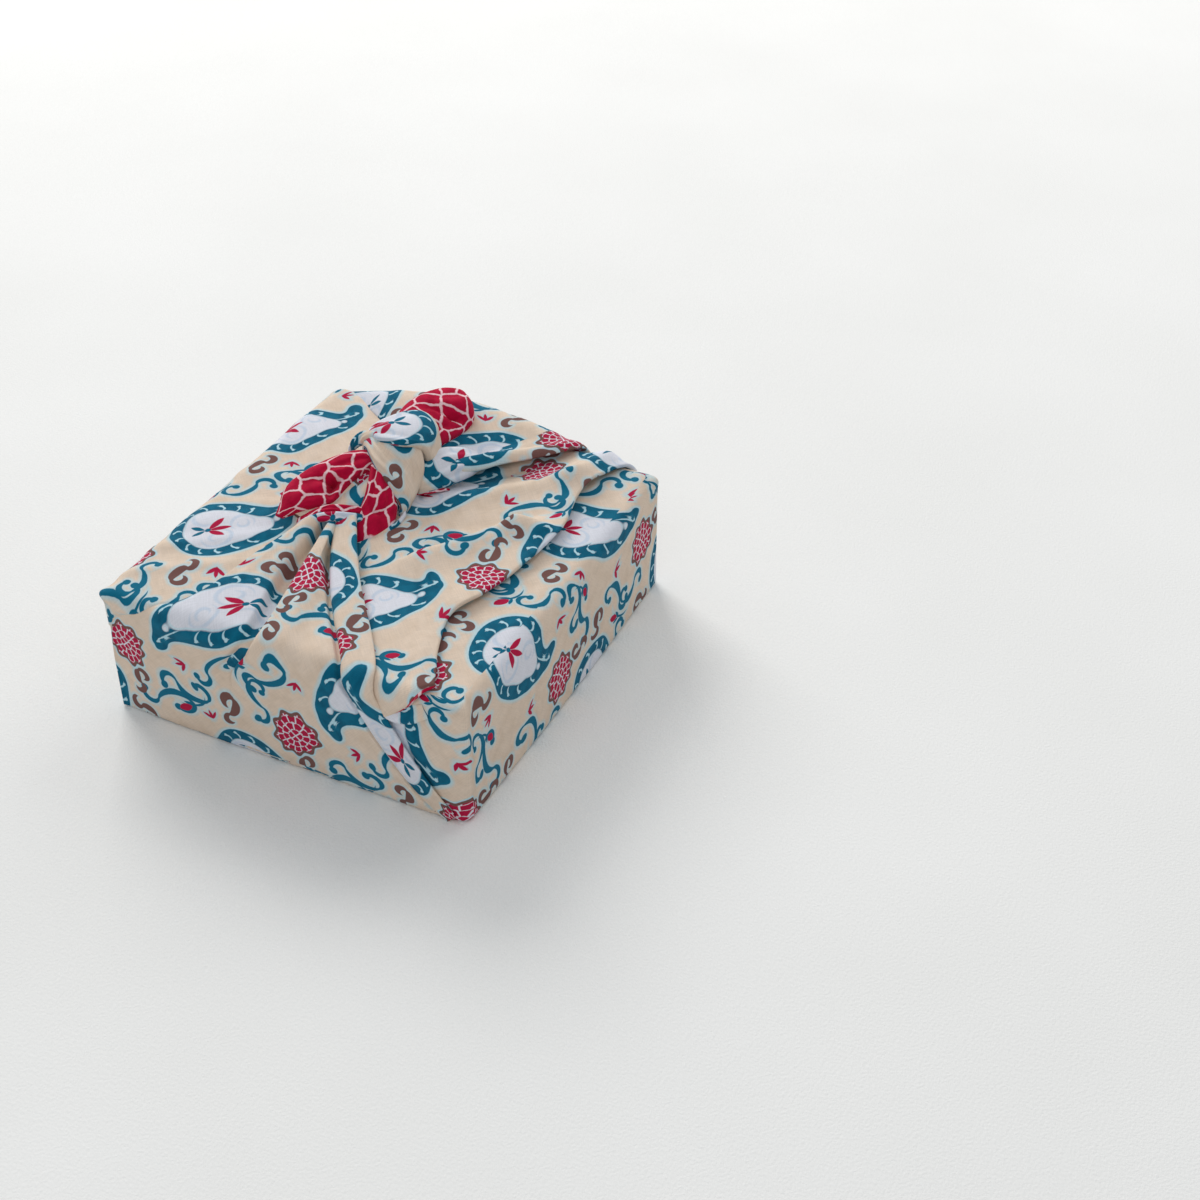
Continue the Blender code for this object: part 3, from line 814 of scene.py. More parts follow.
# Soft dents of the lower layer on the -Y side: widths below and above, then x, z, height
SIDE_FOLDS = (
    (3, 3, ((52, 40.4, -0.3), (60, 40.4, -0.8), (68, 44, -0.3))),
    (5, 7, ((66, 32, 0.3), (71, 10, 0.5))),
)


def wrap_outline():
    """Places round the body's sides, walked from +X to +Y."""
    arcs = []
    for quarter, ((sx, sy), corner) in enumerate(zip(CORNER_SIGNS, CORNER_ROUNDS)):
        angle = math.pi / 2 * (quarter + np.arange(CORNER_STEPS + 1) / CORNER_STEPS)
        arcs.append(np.column_stack([
            sx * (SIZE_X / 2 - corner) + corner * np.cos(angle),
            sy * (SIZE_Y / 2 - corner) + corner * np.sin(angle),
        ]))
    share = (np.arange(1, SIDE_STEPS) / SIDE_STEPS)[:, None]
    places = []
    for arc, following in zip(arcs, arcs[1:] + arcs[:1]):
        places += [arc, arc[-1] + (following[0] - arc[-1]) * share]
    return np.vstack(places)


def wrap_profile():
    """Rings from the middle of the base over the sides to the middle of the top: the share of the
    outline's size, how far in from it, z, and the share of the sides' bulge."""
    grow = (1 - SMALLEST_RING) * np.arange(BASE_STEPS) / BASE_STEPS
    base = [(SMALLEST_RING + share, 0, 0, 0) for share in grow]
    turn = [math.pi / 2 * step / ROUND_STEPS for step in range(ROUND_STEPS + 1)]
    lower = [(1, BOTTOM_ROUND * (1 - math.sin(angle)), BOTTOM_ROUND * (1 - math.cos(angle)),
              angle / (math.pi / 2)) for angle in turn]
    wall = (SIZE_Z - TOP_ROUND - BOTTOM_ROUND) / WALL_STEPS
    walls = [(1, 0, BOTTOM_ROUND + wall * step, 1) for step in range(1, WALL_STEPS)]
    upper = [(1, TOP_ROUND * (1 - math.cos(angle)), SIZE_Z - TOP_ROUND * (1 - math.sin(angle)),
              1 - angle / (math.pi / 2)) for angle in turn]
    shrink = (1 - SMALLEST_RING) * np.arange(1, TOP_STEPS + 1) / TOP_STEPS
    return base + lower + walls + upper + [(1 - share, TOP_ROUND, SIZE_Z, 0) for share in shrink]


def build_wrap(face, reverse):
    """The cloth under, round and over the body: one layer, which the flap and gathers lie on."""
    x, y = wrap_outline().T
    half_x = SIZE_X / 2
    half_y = SIZE_Y / 2
    side_x = np.where(np.abs(x) >= half_x - 0.001, np.sign(x), 0)
    side_y = np.where(np.abs(y) >= half_y - 0.001, np.sign(y), 0)
    bulge_x = (1 - (y / half_y) ** 2) * SIDE_BULGE * side_x
    bulge_y = (1 - (x / half_x) ** 2) * SIDE_BULGE * side_y
    walk = np.where(np.abs(y) < half_y - 5, y, np.sign(y) * (half_y + half_x - np.abs(x)))
    top = BASE_STEPS + 2 * ROUND_STEPS + WALL_STEPS

    places = np.array([
        np.column_stack([
            x * ((half_x - inset) / half_x * share) + bulge_x * bulge,
            y * ((half_y - inset) / half_y * share) + bulge_y * bulge,
            np.full(len(x), float(z)),
        ])
        for share, inset, z, bulge in wrap_profile()
    ])
    height = places[..., 2]
    places[top:, :, 2] += fold_relief(places[top:, :, 0], places[top:, :, 1], LOWER_FOLDS)
    near_side = (y < 4 - half_y) * np.clip((height - 2) / 6, 0, 1)
    places[..., 1] -= near_side * drawn_relief(places[..., 0], height, SIDE_FOLDS)
    slack = crumple(walk + 0 * height, height, WRAP_SLACK, seed=3) * np.clip(height / 12, 0, 1)
    slack[:BASE_STEPS] = 0
    places[..., 0] += side_x * slack
    places[..., 1] += side_y * slack

    steps = np.linalg.norm(np.diff(places, axis=0), axis=2).max(1)
    steps[:BASE_STEPS] = 0
    walked = np.append(0, np.cumsum(steps))
    u = np.sign(x + 0.001) * (half_x + walked[:, None])
    chart = corner_chart(u, np.broadcast_to(walk, u.shape), closed=True)
    flat_chart = corner_chart(places[..., 0], places[..., 1], closed=True)
    chart[: BASE_STEPS - 1] = flat_chart[: BASE_STEPS - 1]
    over = half_x + walked[top] + half_x - TOP_ROUND
    chart[top:] = flat_chart[top:] * (-1, 1) + (over, 0)
    wrap = make_piece("under_wrap", pulled(places), chart, (face, reverse), closed=True,
                      thick=CLOTH_THICK)
    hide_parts(NODE)
    return wrap


# ---------------------------------------------------------------- the flap and the gathers

# The flap that comes over from -X: its folded edge along y, and how high it stands there
FLAP_ROWS = (
    # net y, reach, lift
    (-99, 45, 3),
    (-95, 49.4, 3.3),
    (-91, 53.8, 3.4),
    (-87, 57.8, 3.4),
    (-83, 61.6, 3.2),
    (-80, 64.2, 3),
    (-78.4, 65.2, 2.9),
    (-76.5, 64.2, 2.8),
    (-70, 61.2, 2.8),
    (-62, 57, 2.8),
    (-46, 51, 3),
    (-38, 50.5, 3.2),
    (-28, 54, 3.4),
    (-11, 58, 3.6),
    (2, 60.4, 3.8),
    (12, 62, 4),
    (22, 63.2, 4.2),
    (32, 62.4, 4.6),
    (42, 60.2, 4.8),
    (53, 58.4, 4.8),
    (62, 59.2, 4.4),
    (74, 62.2, 3.6),
    (80, 64.4, 2.8),
    (86, 68.6, 1.9),
)
# Its folds, as x0, y0, x1, y1, height, near width, far width, end
FLAP_FOLDS = (
    (22, -13, 45, 21, 4.6, 9, 2.6, 10),
    (45, 21, 57, 23, 3, 7, 3, 4.5),
    (9, 40, 27, 59, -1.3, 3, 3, 5),
    (27, 59, 36, 76, -1, 2.6, 2.6, 5),
    (32, 17, 58, 38, -1.2, 4, 5, 9),
    (16, 30, 50, 60, 3, 7, 5, 10),
    (50, 60, 56, 82, 3.6, 5, 7, 8),
    (24, -22, 54, -34, 1.2, 7, 9, 12),
    (16, -8, 30, 10, 0.7, 2.4, 3, 8),
    (-70, -30, -34, -4, 1.6, 7, 10, 12),
    (-70, 50, -34, 30, 1.6, 9, 7, 12),
    (-76, -52, -40, -24, 1.1, 3, 5, 9),
    (-76, -70, -46, -50, 1, 3, 4, 8),
    (-76, 8, -46, 10, 0.9, 4, 5, 9),
    (-60, -10, -34, 0, 0.6, 2.4, 3.4, 8),
    (-58, 34, -34, 22, 0.6, 2.6, 3.4, 8),
    (50, -60, 59, -80, 0.9, 3, 4, 7),
    (38, -46, 50, -70, 0.7, 4, 5, 9),
    (34, -34, 46, -50, -0.7, 5, 6, 8),
)
FLAP_START = -79.5
FLAP_STEPS = 96
FLAP_ROW_STEPS = 9
FLAP_SLACK = 0.8
FLAP_LEVEL = 1.7
# Its folded edge: radius and steps of the roll, how far back the cloth rises to it, and how far
# and how high the cloth returns below. Past the edge of the top a little of the hem peeps out
FLAP_EDGE_ROLL = 0.95
ROLL_STEPS = 9
FLAP_EDGE_REACH = 13.0
FLAP_RETURN = 14.0
RETURN_STEPS = 9
FLAP_UNDER = 0.45
HEM_PEEP = 2.2
HEM_PEEP_FROM = -77.5
# Share of the peep at distances along -y
HEM_PEEP_SHARES = ((78.0, 81.0, 91.0, 97.0), (0.0, 1.0, 1.0, 0.3))
# Where the near gather holds the flap down: from x0 to x1 at each net y, and the share of its
# height that is left
PRESSED = (
    # net y, x0, x1, left
    (86, 0, 0, 1),
    (6, -16, -14, 1),
    (-6, -22, -12, 0.5),
    (-14, -25, -6, 0.2),
    (-28, -31, 6, 0.12),
    (-42, -35.5, 12, 0.12),
    (-55, -37, 21, 0.12),
    (-68, -40, 30, 0.12),
    (-78, -46, 36, 0.12),
    (-86, -60, 40, 0.12),
    (-92, -76, 42, 0.12),
    (-99, -80, 46, 0.12),
)
PRESS_SOFT = 2.2


def pressed_share(x, net_y):
    """1 where the flap lies free, less where the near gather lies on it."""
    table = np.array(PRESSED)[::-1]
    low, high, left = (np.interp(net_y, table[:, 0], table[:, column]) for column in (1, 2, 3))
    rises = 1 + np.exp(-(x - low) / PRESS_SOFT * 2)
    falls = 1 + np.exp((x - high) / PRESS_SOFT * 2)
    return 1 - (1 - left) / rises / falls


def flap_section(net_y, reach, lift):
    """One section of the flap, at net y: x and height over the top, round its edge and back."""
    x = np.linspace(FLAP_START, reach - FLAP_EDGE_ROLL, FLAP_STEPS)
    inward = x - FLAP_START
    level = FLAP_LEVEL + (lift - FLAP_LEVEL) * np.exp(-((reach - x) / FLAP_EDGE_REACH) ** 2)
    rise = level * np.clip(inward / 4, 0, 1) - 0.5 * np.exp(-inward / 2)
    uneven = crumple(x, net_y, FLAP_SLACK, seed=11) * np.clip(inward / 10, 0, 1)
    height = (rise + fold_relief(x, net_y, FLAP_FOLDS) + uneven) * pressed_share(x, net_y)
    angle = np.linspace(0, math.pi, ROLL_STEPS)[1:]
    peep = HEM_PEEP * np.interp(-net_y, *HEM_PEEP_SHARES)
    roll_x = x[-1] + np.sin(angle) * FLAP_EDGE_ROLL + peep * (1 - np.cos(angle)) ** 2 / 4
    roll_height = height[-1] - FLAP_EDGE_ROLL * (1 - np.cos(angle))
    back = np.linspace(0, 1, RETURN_STEPS)[1:]
    under_x = roll_x[-1] - back * (FLAP_RETURN + peep)
    under_height = FLAP_UNDER + (roll_height[-1] - FLAP_UNDER) * (1 - back) ** 2
    return np.column_stack([
        np.concatenate([x, roll_x, under_x]),
        np.concatenate([height, roll_height, under_height]),
    ])


def build_flap(face, reverse):
    """The flap: over the top, round its folded edge and back underneath."""
    rows = smooth_rows(FLAP_ROWS, FLAP_ROW_STEPS)
    sections = np.array([flap_section(*row) for row in rows])
    u = -(SIZE_X + SIZE_Z + FLAP_START + np.array([walked_along(line) for line in sections]))
    net_y = np.broadcast_to(rows[:, :1], u.shape)
    past_edge = np.arange(u.shape[1]) >= FLAP_STEPS + ROLL_STEPS // 2 - 1
    piece = lying_sheet("flap", sections[..., 0], net_y, sections[..., 1], corner_chart(u, net_y),
                        (face, reverse), swapped=(net_y < HEM_PEEP_FROM) & past_edge)
    return piece


# The near gather, from the throat of the knot to the bottom of the -Y side. Each row is one
# section across it: x of the folds, left to right. The wall drops from the first fold's crest to
# the flap, the lip is the second fold's sharp edge, which stands over the valley.
NEAR_FOLD_PLACES = (
    # net y, edge, wall, crest, flank, shelf, foot, valley, lip, brow, slope, drop, ditch,
    # rise, band
    (-4, -24, -23.2, -21.8, -21.2, -20.7, -20.2, -18.9, -19.7, -19.2, -18.4, -17.8, -17, -14, -12),
    (-10, -26.5, -25.2, -23.3, -22.5, -21.9, -21.2, -19.2, -20.5, -19.8, -18.7, -17.8, -16.8,
     -12.5, -10),
    (-18, -29.6, -28.2, -26.2, -24.4, -22.8, -21.4, -17.6, -19.3, -18.2, -16, -14.4, -12.8, -8, -5),
    (-28, -32.6, -31.2, -29, -26, -22.6, -20.6, -15.6, -17.5, -16, -12.6, -13.2, -11.2, -1, 2),
    (-42, -36.6, -35.2, -32.8, -27.6, -21.6, -19.2, -13, -15, -13.2, -8.2, -5.4, -3.1, 7, 10),
    (-55, -39, -37.6, -35.2, -28.6, -20, -17.4, -10.6, -12.6, -10.4, -3.4, 3.8, 6, 16, 19),
    (-68, -42.6, -41, -38.2, -29.5, -17.2, -14.6, -8, -10, -7.6, 1, 13.8, 16.2, 25, 28),
    (-77, -49, -46, -42, -31, -15.4, -12.6, -6.8, -8.7, -6.2, 4, 20.8, 23.2, 33, 36),
    (-83, -60, -54, -46, -33, -15.4, -12.2, -6.8, -8.2, -5.4, 5, 25.6, 27.8, 37, 40),
    (-88, -69, -62, -52, -37, -18.6, -15.4, -10, -11.4, -8, 3, 29.4, 31.3, 40, 43),
    (-94, -76, -68, -57, -40, -23.6, -20.6, -14.4, -16, -11.6, 1, 33, 34.9, 43, 46),
    (-101, -78, -71, -60, -43, -28.4, -25.4, -18, -20, -14, 0, 36.6, 38.5, 46, 49),
    (-110, -78.5, -71, -60, -44, -32, -28, -22, -21, -14, 0, 42.4, 44.1, 51, 54),
    (-120, -78.5, -71, -60, -45, -33, -29, -25, -21, -13, 3, 49.6, 51.3, 58, 61),
    (-129, -78.5, -71, -60, -45, -34, -30, -26, -21, -12, 7, 57, 58.7, 64, 67),
    (-135, -78.5, -71, -60, -45, -34, -30, -27, -21, -12, 9, 62.6, 64.3, 68, 71),
    (-138.5, -78.5, -71, -60, -45, -34, -30, -27, -21, -12, 9, 64, 66, 70, 73),
)
NEAR_FOLD_HEIGHTS = (
    # net y, edge, wall, crest, flank, shelf, foot, valley, lip, brow, slope, drop, ditch,
    # rise, band
    (-4, 3, 5.6, 8, 7.6, 6.8, 4, 3, 6.6, 7.6, 7, 5.4, 3, 3, 3),
    (-10, 2, 6.8, 9.8, 9.4, 8, 2.4, 1.2, 7.4, 9, 8.4, 6, 1.6, 2.4, 2),
    (-18, 1.2, 6.2, 10.2, 9.7, 8, 1.4, 0.9, 7, 9.2, 8.6, 5.6, 1, 1.6, 1.4),
    (-28, 1, 5.4, 9.3, 9, 7.4, 1.2, 0.8, 6.2, 8.4, 7.8, 5, 0.9, 1.2, 1),
    (-42, 1, 4.8, 8.4, 8.2, 6.8, 1.1, 0.8, 5.4, 7.4, 7, 4.6, 0.9, 1, 1),
    (-55, 1, 4.2, 7.6, 7.5, 6.3, 1.1, 0.8, 4.8, 6.5, 6.4, 4.2, 0.9, 1, 1),
    (-68, 0.7, 3.2, 6.6, 6.8, 5.8, 1.1, 0.8, 4.3, 5.8, 5.6, 3.8, 0.9, 1, 1),
    (-77, 0.5, 2.4, 5.4, 6, 5, 1.1, 0.9, 3.9, 5.1, 5, 4, 0.9, 1, 1),
    (-83, 0.2, 1.7, 4.4, 5, 4.2, 1.1, 0.9, 3.5, 4.6, 4.4, 3.8, 0.9, 1, 1),
    (-88, 0.1, 1.2, 3.2, 4, 3.4, 1.1, 0.9, 3.1, 4.2, 3.9, 3.4, 0.9, 1, 1),
    (-94, 0.1, 1, 2.4, 3.2, 2.7, 1.2, 1, 2.8, 3.7, 3.4, 3, 0.9, 1, 1),
    (-101, 0.1, 0.9, 2.1, 2.8, 2.5, 1.7, 1.4, 2.4, 3.1, 3, 2.8, 0.9, 1, 1),
    (-110, 0.1, 0.9, 2.1, 2.7, 2.6, 2.4, 2.3, 2.5, 2.8, 2.8, 2.6, 0.8, 0.9, 0.8),
    (-120, 0.1, 0.9, 2, 2.5, 2.6, 2.6, 2.6, 2.6, 2.6, 2.5, 2.3, 0.8, 0.7, 0.6),
    (-129, 0.1, 0.8, 1.8, 2.2, 2.3, 2.3, 2.3, 2.3, 2.3, 2.2, 2, 0.7, 0.5, 0.4),
    (-135, 0, 0.6, 1.4, 1.7, 1.8, 1.8, 1.8, 1.8, 1.8, 1.7, 1.5, 0.6, 0.4, 0.3),
    (-138.5, 0, 0.3, 0.7, 0.9, 1, 1, 1, 1, 1, 0.9, 0.6, 0.4, 0.3, 0.2),
)
# The far gather, from the far throat to the bottom of the +Y side, folds from right to left.
# Its first fold is a free roll that stands over the flap
FAR_FOLD_PLACES = (
    # net y, edge, under, bulge, crest, back, valley, ridge, dip, rise, end
    (31, -2, 0, 3, 1, -1, -2, -4, -5, -6, -7),
    (38, 1, 4, 9, 5.5, 2, 0, -2, -4, -5, -8),
    (46, 5, 10, 16.4, 10.5, 6, 2.6, -2.6, -7, -10, -13),
    (54, 9, 15, 22, 16.4, 11, 6.4, -4.6, -11, -18, -24),
    (62, 16, 22, 28.6, 23, 17.4, 12, -6.6, -17, -28, -38),
    (70, 24, 29, 34.8, 29.8, 24, 18, -7.6, -22, -38, -50),
    (78, 31, 35.4, 40.2, 35.8, 30.4, 24, -8, -27, -48, -64),
    (84, 37, 40.6, 44.4, 40.6, 35.4, 28, -8, -29, -54, -73),
    (90, 43, 46, 48.8, 45.2, 39.4, 31, -8, -30, -56, -76),
    (98, 49, 51, 52.8, 49.8, 43.4, 33, -8, -30, -57, -77),
    (108, 56, 57.4, 58.2, 55.4, 48, 36, -8, -30, -58, -77),
    (121, 64, 65.2, 66, 62.6, 54, 40, -8, -30, -58, -77),
    (138.5, 75.4, 76.6, 77.2, 73.4, 63, 44.6, -8, -30, -58, -77),
)
FAR_FOLD_HEIGHTS = (
    # net y, edge, under, bulge, crest, back, valley, ridge, dip, rise, end
    (31, 3, 3.6, 7, 9, 8, 8, 8, 8, 8, 6),
    (38, 3, 3.8, 8, 11, 9.6, 8.4, 10, 9, 9.6, 6),
    (46, 2.6, 3.6, 7.6, 11.4, 8.6, 6.6, 9.6, 8, 8.6, 3.4),
    (54, 2.4, 3.6, 7, 10.4, 7.4, 5.4, 9.2, 8, 8, 2.2),
    (62, 2.2, 3.4, 6.2, 9.2, 6.6, 5.6, 9.2, 8.4, 7.4, 1.8),
    (70, 2, 3, 5.4, 8, 6.2, 6.2, 9.8, 9, 6.8, 1.6),
    (78, 1.8, 2.6, 4.6, 6.8, 6, 7, 10.6, 9.8, 6.2, 1.4),
    (84, 1.6, 2.2, 4, 5.8, 5.8, 7.4, 10.8, 10.2, 5.8, 1),
    (90, 1.4, 1.9, 3.4, 4.8, 5.4, 7.2, 10.4, 9.6, 5.2, 0.6),
    (98, 1.2, 1.6, 2.8, 4, 4.6, 6.4, 8.6, 7.6, 4.2, 0.2),
    (108, 0.9, 1.3, 2.4, 3.2, 3.6, 4.6, 5.8, 5, 3, 0.2),
    (121, 0.8, 1.2, 2, 2.4, 2.6, 3, 3.8, 3.6, 2.6, 0.6),
    (138.5, 0.7, 1, 1.4, 1.7, 1.8, 2, 2.2, 2.2, 1.8, 0.4),
)
# Small creases on the gathers: x0, net y0, x1, net y1, height, near width, far width, end
NEAR_CREASES = (
    (-27, -22, -31, -60, 0.6, 1.8, 2.6, 8),
    (-24.5, -26, -24, -60, 0.5, 2.2, 2.6, 8),
    (-14, -26, -4, -58, 0.5, 1.6, 2.2, 8),
    (3.4, -56, 11, -84, -1.1, 4, 5, 9),
    (-3, -58, 1, -84, 0.6, 4, 4, 9),
    (18, -84, 16, -110, 0.5, 5, 6, 9),
    (-72, -88, -58, -96, 0.7, 2, 3, 6),
    (-66, -100, -52, -122, 0.5, 5, 6, 9),
    (-36, -104, -30, -122, 0.5, 5, 6, 9),
)
FAR_CREASES = (
    (10, 50, 26, 74, 0.6, 1.8, 2.4, 8),
    (4, 50, 12, 76, 0.6, 2, 2.6, 8),
    (-10, 52, -26, 78, 0.7, 2.4, 3, 8),
    (-24, 60, -46, 82, 0.6, 2.6, 3.2, 8),
)
GATHER_ROW_STEPS = 9
FOLD_STEPS = 10
GATHER_SLACK = 0.5
# The hem turned under at a gather's outer edge
HEM_STEPS = 6
HEM_WIDTH = 3.0
# Above this place on the net a gather's print is pushed aside on one side of its valley
SHIFT_ABOVE = NET_FOOT - 37
# How far all the far gather's print is moved
FAR_PRINT = (-17.0, -177.5)


def gather_section(places, heights, sign):
    """One section across a gather: x and height, from the hem turned under over all the folds."""
    folds = crisp_rows(np.column_stack([places, heights]), FOLD_STEPS)
    edge_x, edge_height = folds[0]
    under = np.linspace(1, 0, HEM_STEPS, endpoint=False)
    hem = np.column_stack([
        edge_x + sign * HEM_WIDTH * under**2,
        edge_height * (1 - under) ** 1.2 - 0.4 * under,
    ])
    return np.vstack([hem, folds])


def build_gather(name, places, heights, creases, cut, shift, seed, face, start=(0, 0)):
    """A gather of folds that run from the throat of the knot down to the surface. cut: the fold
    in whose valley the print jumps. shift: how fast, before it, the print moves aside upward.
    start: how far all its print is moved."""
    place_rows = smooth_rows(places, GATHER_ROW_STEPS)
    height_rows = smooth_rows(heights, GATHER_ROW_STEPS)
    sign = 1 if place_rows[0, 1] < place_rows[0, -1] else -1
    sections = np.array([
        gather_section(place[1:], height[1:], sign)
        for place, height in zip(place_rows, height_rows)
    ])
    net_x, height = np.moveaxis(sections, -1, 0)
    net_y = np.broadcast_to(place_rows[:, :1], net_x.shape)
    slack = fold_relief(net_x, net_y, creases) + crumple(net_x, net_y, GATHER_SLACK, seed)
    height = height + np.clip(height / 1.2, 0, 1) * slack
    lying = on_net(net_x, net_y, height)
    steps = np.linalg.norm(np.diff(lying[..., 1:], axis=0), axis=2).mean(axis=1)
    above = np.append(np.cumsum(steps[::-1])[::-1], 0)[:, None]
    v = np.sign(net_y) * (SIZE_Y / 2 + NET_FOOT - np.abs(net_y[-1:]) + above)
    chart = corner_chart(net_x + start[0], v + start[1])
    jump = HEM_STEPS + cut * FOLD_STEPS
    aside = np.clip(SHIFT_ABOVE - np.abs(net_y), 0, None) * shift
    chart[:, :jump] += corner_chart(aside, 0 * aside)[:, :jump]
    piece = lying_sheet(name, net_x, net_y, height, chart, (face, face))
    return piece


# The fold band that runs from the knot to the bottom corner at +X, -Y: its middle line on the net
BAND_ROWS = (
    # x, net y, width, lift
    (-14.5, -10.5, 8.6, 9.6),
    (-12, -15.4, 9.4, 8.8),
    (-4.2, -29, 10.8, 6.9),
    (5.2, -43, 11.6, 5.8),
    (15.2, -56, 12.2, 5),
    (25, -68, 12.4, 4.4),
    (34, -80, 12.2, 4),
    (39.2, -89, 12, 3.8),
    (43.3, -97, 11.8, 3.6),
    (47.9, -105, 11.4, 3.4),
    (53, -113, 10.8, 3.1),
    (58.2, -120.5, 10, 2.8),
    (63.6, -127.5, 9, 2.4),
    (69.6, -133.8, 7.4, 2),
    (73.6, -137.4, 6, 1.6),
)
# Its section, from the side by the gather over to the side by the flap: half widths, share of lift
BAND_SECTION = (
    (-0.98, 0),
    (-1.02, 0.3),
    (-0.97, 0.62),
    (-0.78, 0.86),
    (-0.35, 0.97),
    (0.2, 1),
    (0.7, 1.04),
    (0.97, 0.98),
    (1.04, 0.8),
    (0.98, 0.62),
    (0.8, 0.5),
    (0.6, 0.1),
    (0.3, -0.1),
    (-0.6, -0.15),
)
BAND_CREASES = (
    (-10, -18, 22, -64, 0.35, 1.4, 1.8, 9),
    (30, -74, 50, -112, 0.3, 1.6, 2.2, 9),
    (52, -116, 66, -132, 0.3, 1.2, 1.6, 6),
)
BAND_ROW_STEPS = 11
BAND_SECTION_STEPS = 5
# Half width and height by which the section is measured, and the print's start and turn
BAND_GIRTH = (6.3, 3.0)
BAND_PRINT = (-79.0, 93.4, -54)
# The pleat that the flap's corner presses into the lower layer on the -Y side
PLEAT_ROWS = (
    # x, net y, width, lift
    (40, -84, 3, 0.5),
    (43.5, -88, 5.2, 1.7),
    (47, -91.4, 6.2, 2.4),
    (52, -93.4, 6.4, 2.5),
    (57.5, -92.8, 6, 2),
    (62, -90.8, 5, 1.2),
    (65.5, -88.6, 4, 0.4),
)
# Its section, from its lower side over to its upper side: half widths, share of lift
PLEAT_SECTION = (
    (-0.80, 0),
    (-1, 0.35),
    (-0.98, 0.72),
    (-0.8, 0.94),
    (-0.4, 1),
    (0.1, 0.86),
    (0.6, 0.56),
    (1.1, 0.24),
    (1.7, -0.06),
    (1.5, -0.3),
    (-0.4, -0.3),
)
PLEAT_LIFT = 0.7


def rolled_on_net(rows, section):
    """A closed section carried along a line on the net: net x, net y and height of its points."""
    along = unit_rows(np.gradient(rows[:, :2], axis=0))
    half = rows[:, 2:3] / 2
    net_x = rows[:, :1] - along[:, 1:] * section[:, 0] * half
    net_y = rows[:, 1:2] + along[:, :1] * section[:, 0] * half
    return net_x, net_y, rows[:, 3:4] * section[:, 1]


def closed_section(points):
    return smooth_rows(points + points[:1], BAND_SECTION_STEPS)[:-1]


def build_band(face):
    """The fold band on the near gather: a flat roll that tapers into the bottom corner."""
    rows = smooth_rows(BAND_ROWS, BAND_ROW_STEPS)
    section = closed_section(BAND_SECTION)
    net_x, net_y, height = rolled_on_net(rows, section)
    height = height + np.clip(section[:, 1], 0, 1) * fold_relief(net_x, net_y, BAND_CREASES)
    walked = walked_along(rows[:, :2])
    chart = slanted_chart(*BAND_PRINT, walked, walked_along(section * BAND_GIRTH))
    places = on_net(net_x, net_y, height)
    piece = make_piece("fold_band", places, chart, (face,), closed=True)
    return piece


def build_pleat(face):
    """The pleat of the lower layer: its print goes on from the cloth around it."""
    rows = smooth_rows(PLEAT_ROWS, BAND_ROW_STEPS)
    net_x, net_y, height = rolled_on_net(rows, closed_section(PLEAT_SECTION))
    height = height + PLEAT_LIFT
    u = SIZE_X / 2 + NET_FOOT + net_y - height * 0.6
    v = net_x - SIZE_X / 2 - SIZE_Y / 2
    chart = corner_chart(u, v, closed=True)
    return make_piece("pleat", on_net(net_x, net_y, height), chart, (face,), closed=True)


# ---------------------------------------------------------------- the knot


def knot_band(name, cloth, print_start, rows, relief=(), goes_with=None):
    return {"name": name, "cloth": cloth, "print": print_start, "rows": rows, "relief": relief,
            "goes_with": goes_with}


